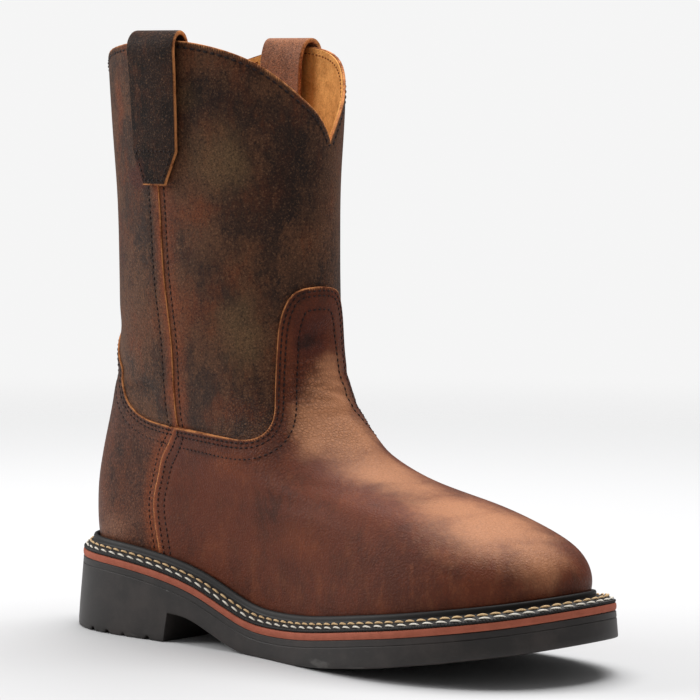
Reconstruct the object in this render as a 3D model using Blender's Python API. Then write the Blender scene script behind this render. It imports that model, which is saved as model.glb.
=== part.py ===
"""Western work boot for the right foot, built from the pieces that a maker puts together.

The boot stands on z = 0 with its toe towards +X and its outer side towards -Y. Lengths are in millimetres from the
back of the heel here. Where a mesh is made they become metres from the origin, on the floor under the heel.

A place around the boot is a turn: 0 at the back of the heel, 0.5 halfway along the outer side, 1 at the toe, 1.5
halfway along the inner side. The upper is a fan of rings. Ring 0 is the feather line, where the upper meets the sole,
and the rings tip up one after another until they lie level across the shaft.
"""

import math
from collections import namedtuple
from functools import lru_cache

import bmesh
import bpy
import numpy as np
from mathutils import Vector
from mathutils.geometry import delaunay_2d_cdt

MM = 0.001
ORIGIN_STATION = 20.0
GAP = 0.3

# Driving sizes of the last, the shaft and the sole
LENGTH = 308.0
BALL_WIDTH = 110.0
SHAFT_HEIGHT = 290.0

# Sole unit
MIDSOLE_THICKNESS = 3.2
BREAST = 83.0
BREAST_SLOPE = 1.0
SIDE_FLARE = 2.6
FLARED_HEIGHT = 30.0
FLOOR_BEVEL = 0.8
GROOVE_DROP = 3.3
GROOVE_DEPTH = 0.6
GROOVE_WIDTH = 0.8
NOTCH_STATIONS = (31.0, 42.5, 54.5, 71.0)
NOTCH_WIDTH = 2.8
NOTCH_DEPTH = 2.0

# Upper: how far each face lies outside the form, and the leather's inner face
FEATHER_INSET = 9.8
FACE_SHAFT_FRONT = -1.3
FACE_SHAFT_BACK = -0.6
FACE_UNDER_VAMP = -0.5
UNDER_VAMP_BLEND = (3.0, 4.5)
FACE_COUNTER = 0.3
FACE_VAMP = 0.9
INNER_FOOT = -2.5
INNER_SHAFT = -3.4
LINING_BLEND = (4.0, 8.0)
SEAM_WIDTH = 0.006
VAMP_SUNK = -1.75
COUNTER_SUNK = -1.6
COUNTER_UNDERLAP = 0.03
PANEL_FOOT_LEVEL = 0.04
PANEL_SPACING = 8.0
BORDER_SPACING = 5.0
TURN_SPAN = 220.0
LEVEL_SPAN = 19.0

INSOLE_THICKNESS = 4.0
INSOLE_EASE = 0.3
FEATHER_RISE = 2.4

# The welt's section: inset from the sole's outline and rise above the seat, then out from the vamp and rise
WELT_STRIP = [(0.2, 0.3), (0.2, 1.4), (0.9, 1.7)]
STORM_RIB = [(3.5, 3.9), (3.0, 4.5), (2.5, 6.2), (1.4, 7.0), (0.4, 6.4), (0.4, 2.4), (0.4, 0.3)]

# Pull straps
STRAP_WIDTH = 30.0
STRAP_END_WIDTH = 15.0
STRAP_THICKNESS = 2.2
STRAP_TURN = 0.497
STRAP_LEAN = 0.0003

SoleSection = namedtuple("SoleSection", "station lateral medial")
# Stations are shares of the length, half widths are shares of the ball width.
SOLE_SECTIONS = [
    SoleSection(0.020, 0.191, 0.191),
    SoleSection(0.078, 0.325, 0.320),
    SoleSection(0.170, 0.368, 0.354),
    SoleSection(0.292, 0.368, 0.326),
    SoleSection(0.422, 0.382, 0.326),
    SoleSection(0.552, 0.449, 0.391),
    SoleSection(0.675, 0.516, 0.468),
    SoleSection(0.779, 0.521, 0.487),
    SoleSection(0.877, 0.449, 0.449),
    SoleSection(0.944, 0.318, 0.364),
    SoleSection(0.987, 0.115, 0.229),
]
TOE_TIP_OFFSET = 0.067

SolePoint = namedtuple("SolePoint", "x seat under")
SOLE_LINE = [
    SolePoint(0.0, 38.4, 15.0),
    SolePoint(14.0, 38.3, 15.0),
    SolePoint(28.0, 38.0, 15.0),
    SolePoint(42.0, 37.3, 15.0),
    SolePoint(53.0, 36.4, 15.0),
    SolePoint(64.0, 35.1, 14.8),
    SolePoint(75.0, 33.5, 14.4),
    SolePoint(85.0, 31.6, 13.9),
    SolePoint(95.0, 29.2, 12.9),
    SolePoint(105.0, 26.1, 9.9),
    SolePoint(115.0, 22.4, 6.0),
    SolePoint(126.0, 18.5, 2.2),
    SolePoint(137.0, 15.7, 0.2),
    SolePoint(149.0, 14.6, 0.0),
    SolePoint(161.0, 14.7, 0.0),
    SolePoint(173.0, 15.4, 0.1),
    SolePoint(195.0, 17.9, 1.6),
    SolePoint(216.0, 20.8, 4.1),
    SolePoint(235.0, 23.3, 6.6),
    SolePoint(250.0, 25.4, 8.9),
    SolePoint(265.0, 27.6, 11.2),
    SolePoint(278.0, 29.5, 13.4),
    SolePoint(290.0, 31.4, 15.3),
    SolePoint(300.0, 33.2, 17.2),
    SolePoint(308.0, 34.8, 18.9),
]

FormRing = namedtuple(
    "FormRing", "back_x back_z front_x front_z front_y lateral medial foot_share nose_power sag"
)
# The x columns are shares of the length, the z columns of the shaft height, and the widths of the ball width.
# foot_share blends from an oval to the sole's own outline, and sag from a flat ring to one that follows the arch.
FORM_RINGS = [
    FormRing(0.028, 0.137, 0.955, 0.124, 0.064, 0.427, 0.391, 1.00, 2.3, 1.00),
    FormRing(0.023, 0.170, 0.959, 0.158, 0.064, 0.436, 0.400, 1.00, 2.3, 1.00),
    FormRing(0.020, 0.207, 0.935, 0.197, 0.064, 0.427, 0.391, 0.95, 2.3, 0.90),
    FormRing(0.021, 0.248, 0.870, 0.228, 0.059, 0.409, 0.373, 0.90, 2.3, 0.70),
    FormRing(0.028, 0.290, 0.773, 0.255, 0.055, 0.391, 0.359, 0.80, 2.3, 0.50),
    FormRing(0.039, 0.334, 0.653, 0.281, 0.045, 0.377, 0.345, 0.60, 2.2, 0.30),
    FormRing(0.054, 0.379, 0.552, 0.334, 0.036, 0.377, 0.350, 0.40, 2.1, 0.15),
    FormRing(0.067, 0.431, 0.494, 0.421, 0.027, 0.382, 0.364, 0.20, 2.0, 0.05),
    FormRing(0.073, 0.490, 0.482, 0.521, 0.018, 0.386, 0.377, 0.10, 2.0, 0.00),
    FormRing(0.075, 0.559, 0.484, 0.617, 0.009, 0.395, 0.391, 0.00, 2.0, 0.00),
    FormRing(0.076, 0.641, 0.484, 0.703, 0.000, 0.405, 0.405, 0.00, 2.0, 0.00),
    FormRing(0.075, 0.738, 0.485, 0.797, 0.000, 0.418, 0.418, 0.00, 2.0, 0.00),
    FormRing(0.068, 0.848, 0.489, 0.893, 0.000, 0.436, 0.436, 0.00, 2.0, 0.00),
    FormRing(0.060, 1.000, 0.490, 1.034, 0.000, 0.455, 0.455, 0.00, 2.0, 0.00),
]

EdgePoint = namedtuple("EdgePoint", "turn height")
# The top edge of vamp and counter, the same on both sides: peak at the back, low sides, and the tab at the front.
VAMP_LINE = [
    EdgePoint(0.000, 152.0),
    EdgePoint(0.120, 148.0),
    EdgePoint(0.205, 137.0),
    EdgePoint(0.250, 125.0),
    EdgePoint(0.295, 113.5),
    EdgePoint(0.360, 106.5),
    EdgePoint(0.470, 103.8),
    EdgePoint(0.600, 102.0),
    EdgePoint(0.705, 101.5),
    EdgePoint(0.786, 107.0),
    EdgePoint(0.832, 121.0),
    EdgePoint(0.854, 146.0),
    EdgePoint(0.874, 163.0),
    EdgePoint(0.916, 171.0),
    EdgePoint(1.000, 173.0),
]
# The scalloped collar: a dip at the back, high sides and a sharp dip at the front. The inner side lies a little lower,
# and the front dip sits a little towards it.
TAB_TWIST = 0.036
TAB_TWIST_SPAN = (0.6, 0.8)
COLLAR_TWIST = 0.035
TWIST_START = 0.6
COLLAR_LATERAL = [
    EdgePoint(0.000, 268.0),
    EdgePoint(0.110, 272.5),
    EdgePoint(0.190, 279.5),
    EdgePoint(0.270, 284.8),
    EdgePoint(0.350, 287.3),
    EdgePoint(0.500, 289.8),
    EdgePoint(0.620, 287.8),
    EdgePoint(0.740, 280.5),
    EdgePoint(0.870, 264.0),
    EdgePoint(0.950, 252.5),
    EdgePoint(1.000, 242.0),
]
COLLAR_MEDIAL = [
    EdgePoint(0.000, 268.0),
    EdgePoint(0.120, 269.5),
    EdgePoint(0.250, 274.5),
    EdgePoint(0.370, 281.0),
    EdgePoint(0.440, 284.8),
    EdgePoint(0.520, 286.8),
    EdgePoint(0.620, 285.3),
    EdgePoint(0.740, 278.5),
    EdgePoint(0.870, 263.0),
    EdgePoint(0.950, 252.0),
    EdgePoint(1.000, 242.0),
]

SeamPoint = namedtuple("SeamPoint", "share turn")
# The seam between counter and vamp, from the feather line up to the vamp line
COUNTER_SEAM = [
    SeamPoint(0.00, 0.304),
    SeamPoint(0.20, 0.302),
    SeamPoint(0.45, 0.306),
    SeamPoint(0.65, 0.334),
    SeamPoint(0.83, 0.384),
    SeamPoint(1.00, 0.466),
]
SIDE_SEAM = 0.485

# Columns of the upper's mesh behind and in front of the side seam
COLUMNS_BACK = 13
COLUMNS_FRONT = 15
SOLE_COLUMNS = 31

RowBand = namedtuple("RowBand", "end_level rows")
# Rows up the shell: close together where the toe and the instep bend, and far apart up the shaft
ROW_BANDS = [RowBand(3.0, 6), RowBand(8.0, 7), RowBand(13.0, 3)]

StrapPoint = namedtuple("StrapPoint", "outward height")
# The strap's middle line beside its collar point: out from the shaft's form, and up from the collar's edge.
STRAP_ROUTE = [
    StrapPoint(1.3, -69.0),
    StrapPoint(1.3, -53.0),
    StrapPoint(1.5, -38.0),
    StrapPoint(2.2, -22.0),
    StrapPoint(3.0, -9.0),
    StrapPoint(2.6, -0.5),
    StrapPoint(-0.8, 3.3),
    StrapPoint(-5.0, 2.8),
    StrapPoint(-8.2, -2.5),
    StrapPoint(-9.0, -12.0),
    StrapPoint(-8.4, -27.0),
    StrapPoint(-7.2, -41.0),
    StrapPoint(-6.2, -54.0),
]
STRAP_ROWS = 22
STRAP_COLUMNS = 4


def smooth(start, end, value):
    """0 before start, 1 after end, and a soft step between."""
    share = np.clip((np.asarray(value, float) - start) / (end - start), 0.0, 1.0)
    return share * share * (3.0 - 2.0 * share)


def spline(knots, values, at):
    """A natural cubic through the values at the knots, read at the places asked for."""
    knots = np.asarray(knots, float)
    values = np.asarray(values, float)
    count = len(knots)
    step = np.diff(knots)
    matrix = np.eye(count)
    bend = np.zeros(values.shape)
    for i in range(1, count - 1):
        matrix[i, i - 1 : i + 2] = step[i - 1], 2.0 * (step[i - 1] + step[i]), step[i]
        bend[i] = 6.0 * ((values[i + 1] - values[i]) / step[i] - (values[i] - values[i - 1]) / step[i - 1])
    curve = np.linalg.solve(matrix, bend)
    at = np.clip(np.asarray(at, float), knots[0], knots[-1])
    i = np.clip(np.searchsorted(knots, at, side="right") - 1, 0, count - 2)
    before, after, width = at - knots[i], knots[i + 1] - at, step[i]
    if values.ndim > 1:
        before, after, width = before[..., None], after[..., None], width[..., None]
    cubic = (curve[i] * after**3 + curve[i + 1] * before**3) / (6.0 * width)
    left = (values[i] / width - curve[i] * width / 6.0) * after
    right = (values[i + 1] / width - curve[i + 1] * width / 6.0) * before
    return cubic + left + right


def arc_lengths(points):
    """Distance along a run of points, from 0."""
    steps = np.linalg.norm(np.diff(points, axis=0), axis=1)
    return np.concatenate([[0.0], np.cumsum(steps)])


# Sole


@lru_cache(maxsize=None)
def sole_curve(column):
    """Places along the boot, and one of SOLE_LINE's heights at each of them."""
    along = np.linspace(0.0, LENGTH, 617)
    return along, spline([point.x for point in SOLE_LINE], [point[column] for point in SOLE_LINE], along)


def seat(x):
    """Height of the midsole's top: high at the heel, down through the arch, up again at the toe."""
    return np.interp(x, *sole_curve(1))


def outsole_top(x):
    return seat(x) - MIDSOLE_THICKNESS - GAP


def outsole_bottom(x):
    """The floor under the heel, then the breast's step, the arch and the forefoot."""
    under = np.maximum(np.interp(x, *sole_curve(2)), 0.0)
    return under * np.clip((np.asarray(x, float) - BREAST) / BREAST_SLOPE, 0.0, 1.0)


@lru_cache(maxsize=None)
def outline(inset):
    """The sole's outline moved inwards by inset, as its outer and inner halves from heel to toe."""
    rows = [(s.station * LENGTH, -s.lateral * BALL_WIDTH) for s in SOLE_SECTIONS]
    back = [(s.station * LENGTH, s.medial * BALL_WIDTH) for s in reversed(SOLE_SECTIONS)]
    corners = [(0.0, 0.0)] + rows + [(LENGTH, TOE_TIP_OFFSET * BALL_WIDTH)] + back
    spare = 3
    wrapped = np.array(corners[-spare:] + corners + corners[: spare + 1], float)
    along = arc_lengths(wrapped)
    dense = np.linspace(along[spare], along[spare + len(corners)], 721)[:-1]
    curve = spline(along, wrapped, dense)
    tangent = np.roll(curve, -1, axis=0) - np.roll(curve, 1, axis=0)
    inward = np.column_stack([-tangent[:, 1], tangent[:, 0]])
    inward /= np.linalg.norm(inward, axis=1)[:, None]
    curve = curve + inset * inward
    curve = np.roll(curve, -int(curve[:, 0].argmin()), axis=0)
    toe = int(curve[:, 0].argmax())
    lateral = curve[: toe + 1]
    medial = np.vstack([curve[toe:], curve[:1]])[::-1]
    return lateral, medial


def station_share(turn):
    """How far along the boot a turn lies, from 0 at the heel to 1 at the toe."""
    return (1.0 - np.cos(np.pi * np.asarray(turn, float))) / 2.0


def plan(turn, inset):
    """Points of the outline, moved inwards by inset, at the turns asked for."""
    lateral, medial = outline(inset)
    x = lateral[0, 0] + (lateral[-1, 0] - lateral[0, 0]) * station_share(turn)
    outer = np.interp(x, lateral[:, 0], lateral[:, 1])
    inner = np.interp(x, medial[:, 0], medial[:, 1])
    return x, np.where(np.asarray(turn) <= 1.0, outer, inner)


def sole_turns(extra_stations=()):
    """Turns around the sole, evenly spaced, with more at the stations asked for."""
    side = list(np.linspace(0.0, 1.0, SOLE_COLUMNS + 1))
    for station in extra_stations:
        side.append(math.acos(1.0 - 2.0 * station / LENGTH) / math.pi)
    side.sort()
    return np.array(side + [2.0 - turn for turn in reversed(side[1:-1])])


# Upper


def form_ring(level):
    """The values of the ring at a level, in millimetres."""
    ring = spline(np.arange(len(FORM_RINGS)), FORM_RINGS, level)
    scales = [LENGTH, SHAFT_HEIGHT, LENGTH, SHAFT_HEIGHT, BALL_WIDTH, BALL_WIDTH, BALL_WIDTH, 1.0, 1.0, 1.0]
    return FormRing(*np.moveaxis(ring * np.array(scales), -1, 0))


def form(turn, level):
    """Points of the form that the leather is drawn over."""
    turn, level = np.broadcast_arrays(np.asarray(turn, float), np.asarray(level, float))
    ring = form_ring(level)
    share = station_share(turn)
    lateral_side = np.mod(turn, 2.0) <= 1.0
    half = np.where(lateral_side, ring.lateral, ring.medial)
    sole_x, foot_y = plan(np.mod(turn, 2.0), FEATHER_INSET)
    lateral_edge, medial_edge = outline(FEATHER_INSET)
    widest = np.where(lateral_side, -lateral_edge[:, 1].min(), medial_edge[:, 1].max())
    across = np.abs(2.0 * share - 1.0)
    power = np.where(share > 0.5, ring.nose_power, 2.0)
    oval = np.clip(1.0 - across**power, 0.0, None) ** (1.0 / power)
    oval_y = np.where(lateral_side, -half, half) * oval + ring.front_y * share**2
    x = ring.back_x + (ring.front_x - ring.back_x) * share
    y = ring.foot_share * foot_y * half / widest + (1.0 - ring.foot_share) * oval_y
    flat = ring.back_z + (ring.front_z - ring.back_z) * share
    heel_x, toe_x = lateral_edge[0, 0], lateral_edge[-1, 0]
    lift = (ring.back_z - seat(heel_x)) * (1.0 - share) + (ring.front_z - seat(toe_x)) * share
    z = (1.0 - ring.sag) * flat + ring.sag * (seat(sole_x) + lift)
    return np.stack([x, y, z], axis=-1)


def form_normal(turn, level):
    """The outward direction of the form."""
    around = form(turn + 0.004, level) - form(turn - 0.004, level)
    upward = form(turn, np.asarray(level) + 0.03) - form(turn, np.asarray(level) - 0.03)
    normal = np.cross(around, upward)
    return normal / np.linalg.norm(normal, axis=-1)[..., None]


def level_at(turn, height):
    """The ring level where the form reaches a height, at each turn."""
    levels = np.linspace(0.0, len(FORM_RINGS) - 1, 261)
    turn, height = np.broadcast_arrays(np.asarray(turn, float), np.asarray(height, float))
    found = []
    for one_turn, one_height in zip(turn.ravel(), height.ravel()):
        heights = form(one_turn, levels)[:, 2]
        found.append(np.interp(one_height, heights, levels))
    return np.array(found).reshape(turn.shape)


def edge_height(points, turn):
    """Height of an edge line at the turns asked for, with both sides folded onto one."""
    points = np.array(points, float)
    along = arc_lengths(points * [100.0, 1.0])
    curve = spline(along, points, np.linspace(0.0, along[-1], 400))
    folded = 1.0 - np.abs(1.0 - np.mod(turn, 2.0))
    return np.interp(folded, np.maximum.accumulate(curve[:, 0]), curve[:, 1])


def vamp_height(turn):
    """Height of the vamp's top edge. Its tab stands a little to the outer side of the toe's turn."""
    turn = np.asarray(turn, float)
    folded = 1.0 - np.abs(1.0 - np.mod(turn, 2.0))
    return edge_height(VAMP_LINE, turn + TAB_TWIST * smooth(*TAB_TWIST_SPAN, folded))


def twisted(turn):
    """Turns moved towards the inner side, by COLLAR_TWIST at the toe and not at all behind the sides."""
    folded = 1.0 - np.abs(1.0 - np.mod(turn, 2.0))
    return turn + COLLAR_TWIST * smooth(TWIST_START, 1.0, folded)


def collar_height(turn):
    """Height of the collar's edge at the turns asked for."""
    dense = np.linspace(0.0, 2.0, 801)
    turn = np.interp(np.mod(turn, 2.0), twisted(dense), dense)
    return np.where(turn <= 1.0, edge_height(COLLAR_LATERAL, turn), edge_height(COLLAR_MEDIAL, turn))


def upper_turns():
    """Turns of the upper's columns, with a narrow pair at each side seam and one column at the front dip's tip."""
    back = np.linspace(0.0, SIDE_SEAM, COLUMNS_BACK + 1)
    front = np.linspace(SIDE_SEAM + SEAM_WIDTH, 1.0, COLUMNS_FRONT + 1)
    side = np.concatenate([back, front])
    return twisted(np.concatenate([side, 2.0 - side[-2:0:-1]]))


def face_row(turn, level, face):
    """Points that lie off the form by face, which may differ from point to point."""
    return form(turn, level) + form_normal(turn, level) * np.reshape(face, (-1, 1))


def foot_edge_row(row):
    """The row brought straight down to just above the midsole."""
    lowered = row.copy()
    lowered[:, 2] = seat(row[:, 0]) + GAP
    return lowered


def row_shares():
    """Where the shell's rows lie, as shares of the way from the feather line to the collar."""
    levels = [0.0]
    for band in ROW_BANDS:
        levels.extend(np.linspace(levels[-1], band.end_level, band.rows + 1)[1:])
    return np.array(levels) / levels[-1]


def shell_rows():
    """Rows of the shaft and its lining: outside up to the collar, over its edge, and down inside."""
    turn = upper_turns()
    top = level_at(turn, collar_height(turn))
    folded = 1.0 - np.abs(1.0 - turn)
    above_vamp = np.where(folded <= SIDE_SEAM + SEAM_WIDTH / 2.0, FACE_SHAFT_BACK, FACE_SHAFT_FRONT)
    outer_rows = []
    lining_rows = []
    for share in row_shares():
        level = share * top
        outside = FACE_UNDER_VAMP + (above_vamp - FACE_UNDER_VAMP) * smooth(*UNDER_VAMP_BLEND, level)
        inside = INNER_FOOT + (INNER_SHAFT - INNER_FOOT) * smooth(*LINING_BLEND, level)
        outer_rows.append(face_row(turn, level, outside))
        lining_rows.append(face_row(turn, level, inside))
    outer_rows.insert(0, foot_edge_row(outer_rows[0]))
    lining_rows.insert(0, foot_edge_row(lining_rows[0]))
    return outer_rows + lining_rows[::-1]


def vamp_line(start, end):
    """Points along the vamp's top edge, as turn and level, from one turn to another."""
    dense = np.linspace(start, end, 900)
    height = vamp_height(dense)
    return evenly(np.column_stack([dense, level_at(dense, height)]))


def counter_seam(side, shift):
    """Points up the seam between counter and vamp, on the outer side for 1 and the inner side for -1."""
    share = np.linspace(0.0, 1.0, 60)
    turn = spline([p.share for p in COUNTER_SEAM], [p.turn for p in COUNTER_SEAM], share) + shift
    top = level_at(turn[-1:], vamp_height(turn[-1:]))[0]
    level = PANEL_FOOT_LEVEL + (top - PANEL_FOOT_LEVEL) * share
    return evenly(np.column_stack([side * turn, level]))


def foot_line(start, end):
    return evenly(np.array([(start, PANEL_FOOT_LEVEL), (end, PANEL_FOOT_LEVEL)]))


def evenly(points):
    """The same line with its points at about even distances over the leather."""
    along = arc_lengths(points * [TURN_SPAN, LEVEL_SPAN])
    places = np.linspace(0.0, along[-1], max(2, round(along[-1] / BORDER_SPACING) + 1))
    return np.column_stack([np.interp(places, along, points[:, 0]), np.interp(places, along, points[:, 1])])


def closed_border(*lines):
    """The lines joined end to end into one loop, each without its last point."""
    return np.vstack([line[:-1] for line in lines])


def vamp_border():
    lateral = counter_seam(1.0, 0.0)
    medial = counter_seam(-1.0, 0.0) + [2.0, 0.0]
    bottom = foot_line(medial[0, 0], lateral[0, 0])
    return closed_border(lateral, vamp_line(lateral[-1, 0], medial[-1, 0]), medial[::-1], bottom)


def counter_border():
    lateral = counter_seam(1.0, COUNTER_UNDERLAP)
    medial = counter_seam(-1.0, COUNTER_UNDERLAP)
    top = vamp_line(lateral[-1, 0], medial[-1, 0])
    bottom = foot_line(medial[0, 0], lateral[0, 0])
    return closed_border(lateral, top, medial[::-1], bottom)


def panel(name, border, face, sunk, finish):
    """A leather panel over the form: triangles inside its border, drawn at its face and at its sunk inner side."""
    span = np.array([TURN_SPAN, LEVEL_SPAN])
    edge = border * span
    low, high = edge.min(axis=0), edge.max(axis=0)
    inner_points = []
    for row, v in enumerate(np.arange(low[1], high[1], PANEL_SPACING * 0.87)):
        shift = PANEL_SPACING / 2.0 * (row % 2)
        for u in np.arange(low[0] + shift, high[0], PANEL_SPACING):
            if np.hypot(*(edge - [u, v]).T).min() > 0.6 * PANEL_SPACING:
                inner_points.append((u, v))
    flat_points = [Vector(point) for point in edge.tolist() + inner_points]
    cut = delaunay_2d_cdt(flat_points, [], [list(range(len(edge)))], 1, 1e-4)
    corners = np.array([tuple(v) for v in cut[0]]) / span
    triangles = [tuple(corner) for corner in cut[2]]
    used = sorted({index for triangle in triangles for index in triangle})
    place = {old: new for new, old in enumerate(used)}
    triangles = [tuple(place[index] for index in triangle) for triangle in triangles]
    turn, level = corners[used].T
    count = len(used)
    points = np.vstack([face_row(turn, level, face), face_row(turn, level, sunk)])
    faces = triangles + [tuple(index + count for index in tri[::-1]) for tri in triangles]
    one_way = {(tri[i], tri[i - 2]) for tri in triangles for i in range(3)}
    for start, end in sorted(one_way):
        if (end, start) not in one_way:
            faces.append((end, start, start + count, end + count))
    return add_object(name, points, faces, finish)


# Pull straps


def strap_rows(turn_at_middle, outward_turn):
    """Rows of the strap's skin along its route. Each row runs across the outer face and back across the inner face."""
    half_girth = station_half_length() * math.pi / 2.0
    route = np.array(STRAP_ROUTE, float)
    along = arc_lengths(route)
    places = np.linspace(0.0, along[-1], STRAP_ROWS + 1)
    path = spline(along, route, places)
    ahead = np.gradient(path, axis=0)
    ahead /= np.linalg.norm(ahead, axis=1)[:, None]
    side = np.column_stack([ahead[:, 1], -ahead[:, 0]])
    taper = np.interp(places, [0.0, along[1]], [STRAP_END_WIDTH, STRAP_WIDTH])
    rim = float(collar_height(turn_at_middle))
    rows = []
    for (outward, height), (side_out, side_up), width in zip(path, side, taper):
        across = np.linspace(-0.5, 0.5, STRAP_COLUMNS + 1) * width
        lean = STRAP_LEAN * min(height, 0.0)
        turn = turn_at_middle + outward_turn * (across / (2.0 * half_girth) + lean)
        level = level_at(turn, rim + min(height, 0.0))
        base = form(turn, level)
        flat = form_normal(turn, level) * [1.0, 1.0, 0.0]
        flat /= np.linalg.norm(flat, axis=1)[:, None]
        rise = [0.0, 0.0, 1.0]
        middle = base + flat * outward + np.outer(np.ones(len(turn)), rise) * max(height, 0.0)
        shift = flat * side_out + np.outer(np.ones(len(turn)), rise) * side_up
        faces = [middle - shift * STRAP_THICKNESS / 2.0, middle + shift * STRAP_THICKNESS / 2.0]
        rows.append(np.vstack([faces[0], faces[1][::-1]]))
    return rows


def station_half_length():
    """Half the shaft's length from back to front at its top."""
    top = form_ring(len(FORM_RINGS) - 1.0)
    return float(top.front_x - top.back_x) / 2.0


# Meshes


def material(name, colour, roughness):
    """A plain Principled material."""
    made = bpy.data.materials.new(name)
    made.use_nodes = True
    surface = made.node_tree.nodes["Principled BSDF"]
    surface.inputs["Base Color"].default_value = (*colour, 1.0)
    surface.inputs["Roughness"].default_value = roughness
    surface.inputs["Metallic"].default_value = 0.0
    return made


def add_object(name, points, faces, finish):
    """A closed mesh object with its faces pointing out."""
    mesh = bpy.data.meshes.new(name)
    mesh.from_pydata(((np.asarray(points) - [ORIGIN_STATION, 0.0, 0.0]) * MM).tolist(), [], faces)
    mesh.materials.append(finish)
    shell = bmesh.new()
    shell.from_mesh(mesh)
    bmesh.ops.triangulate(shell, faces=shell.faces)
    bmesh.ops.recalc_face_normals(shell, faces=shell.faces)
    shell.to_mesh(mesh)
    shell.free()
    mesh.shade_smooth()
    mesh.set_sharp_from_angle(angle=math.radians(40.0))
    made = bpy.data.objects.new(name, mesh)
    bpy.context.scene.collection.objects.link(made)
    return made


def side_faces(row_count, column_count, ring):
    """Quads between rows of a closed loop. A ring also joins its last row to its first."""
    faces = []
    for row in range(row_count if ring else row_count - 1):
        lower = row * column_count
        upper = (row + 1) % row_count * column_count
        for column in range(column_count):
            after = (column + 1) % column_count
            faces.append((lower + column, lower + after, upper + after, upper + column))
    return faces


def cap_faces(start, column_count):
    """A cap of strips from side to side, for a loop that begins at one tip."""
    faces = []
    half = column_count // 2
    for column in range(half):
        corners = [column, column + 1, column_count - column - 1, (column_count - column) % column_count]
        unique = list(dict.fromkeys(start + corner for corner in corners))
        faces.append(tuple(unique))
    return faces


def stacked(name, rows, finish):
    """A solid with its side from the rows and a cap of strips at each end."""
    count = len(rows[0])
    faces = side_faces(len(rows), count, ring=False)
    faces += cap_faces(0, count) + cap_faces((len(rows) - 1) * count, count)
    return add_object(name, np.vstack(rows), faces, finish)


def ringed(name, rows, finish):
    """A solid whose rows close into a ring."""
    return add_object(name, np.vstack(rows), side_faces(len(rows), len(rows[0]), ring=True), finish)


def sole_row(turn, inset, height):
    x, y = plan(turn, inset)
    return np.column_stack([x, y, height(x)])


def flared_row(turn, drop_share, inset=0.0):
    """A row of the outsole's side, at a share of the way from its top to its bottom."""
    top_x, top_y = plan(turn, inset)
    low_x, low_y = plan(turn, inset - SIDE_FLARE)
    drop = (outsole_top(top_x) - outsole_bottom(top_x)) * drop_share
    lean = np.clip(drop / FLARED_HEIGHT, 0.0, 1.0)
    x = top_x + (low_x - top_x) * lean
    y = top_y + (low_y - top_y) * lean
    return np.column_stack([x, y, outsole_top(top_x) - drop])


def make_outsole():
    turn = sole_turns(extra_stations=(BREAST, BREAST + BREAST_SLOPE))
    drops = [GROOVE_DROP - GROOVE_WIDTH, GROOVE_DROP, GROOVE_DROP + GROOVE_WIDTH]
    top_x, _ = plan(turn, 0.0)
    depth = outsole_top(top_x) - outsole_bottom(top_x)
    rows = [flared_row(turn, 1.0, FLOOR_BEVEL), flared_row(turn, 1.0 - FLOOR_BEVEL / depth)]
    for drop, cut in zip(reversed(drops), (0.0, GROOVE_DEPTH, 0.0)):
        rows.append(flared_row(turn, drop / depth, cut))
    rows.append(flared_row(turn, 0.0))
    outsole = stacked("outsole", rows, material("outsole_rubber", (0.035, 0.034, 0.035), 0.55))
    for number, station in enumerate(NOTCH_STATIONS, start=1):
        cutter = make_notch_cutter(f"heel_notch_{number}", station)
        cut = outsole.modifiers.new(cutter.name, "BOOLEAN")
        cut.operation = "DIFFERENCE"
        cut.object = cutter
    return outsole


def make_notch_cutter(name, station):
    """A bar across the heel that cuts one tread channel."""
    half_width = BALL_WIDTH / 2.0
    corners = []
    for x in (station - NOTCH_WIDTH / 2.0, station + NOTCH_WIDTH / 2.0):
        for y in (-half_width, half_width):
            for z in (-NOTCH_DEPTH, NOTCH_DEPTH):
                corners.append((x, y, z))
    faces = [(0, 1, 3, 2), (4, 6, 7, 5), (0, 4, 5, 1), (2, 3, 7, 6), (0, 2, 6, 4), (1, 5, 7, 3)]
    cutter = add_object(name, corners, faces, material(name, (0.5, 0.5, 0.5), 0.5))
    cutter.hide_render = True
    cutter.display_type = "WIRE"
    return cutter


def make_midsole():
    turn = sole_turns()
    rows = []
    for inset, rise in ((0.0, -MIDSOLE_THICKNESS), (-0.3, -MIDSOLE_THICKNESS / 2.0), (0.0, 0.0)):
        rows.append(sole_row(turn, inset, lambda x, rise=rise: seat(x) + rise))
    return stacked("midsole", rows, material("midsole_terracotta", (0.42, 0.13, 0.07), 0.6))


def beside_upper(turn, outward, rise):
    """A row that keeps outward of the vamp's face, at a height above the seat."""
    feather_x, _ = plan(turn, FEATHER_INSET)
    level = level_at(turn, seat(feather_x) + max(rise, FEATHER_RISE))
    row = face_row(turn, level, np.full(len(turn), FACE_VAMP + outward))
    row[:, 2] = seat(row[:, 0]) + rise
    return row


def make_welt():
    """The flat welt with the storm rib at its inner edge. Its inner wall follows the upper."""
    turn = sole_turns()
    rows = []
    for inset, rise in WELT_STRIP:
        rows.append(sole_row(turn, inset, lambda x, rise=rise: seat(x) + rise))
    for outward, rise in STORM_RIB:
        rows.append(beside_upper(turn, outward, rise))
    return ringed("welt", rows, material("welt_black", (0.03, 0.028, 0.027), 0.5))


def make_insole():
    """The footbed, inside the upper's foot edge."""
    turn = sole_turns()
    edge = form(turn, 0.0) + form_normal(turn, 0.0) * (INNER_FOOT - GAP - INSOLE_EASE)
    rows = []
    for rise in (GAP, INSOLE_THICKNESS):
        row = edge.copy()
        row[:, 2] = seat(edge[:, 0]) + rise
        rows.append(row)
    return stacked("insole", rows, material("insole_leather", (0.45, 0.27, 0.12), 0.8))


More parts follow.
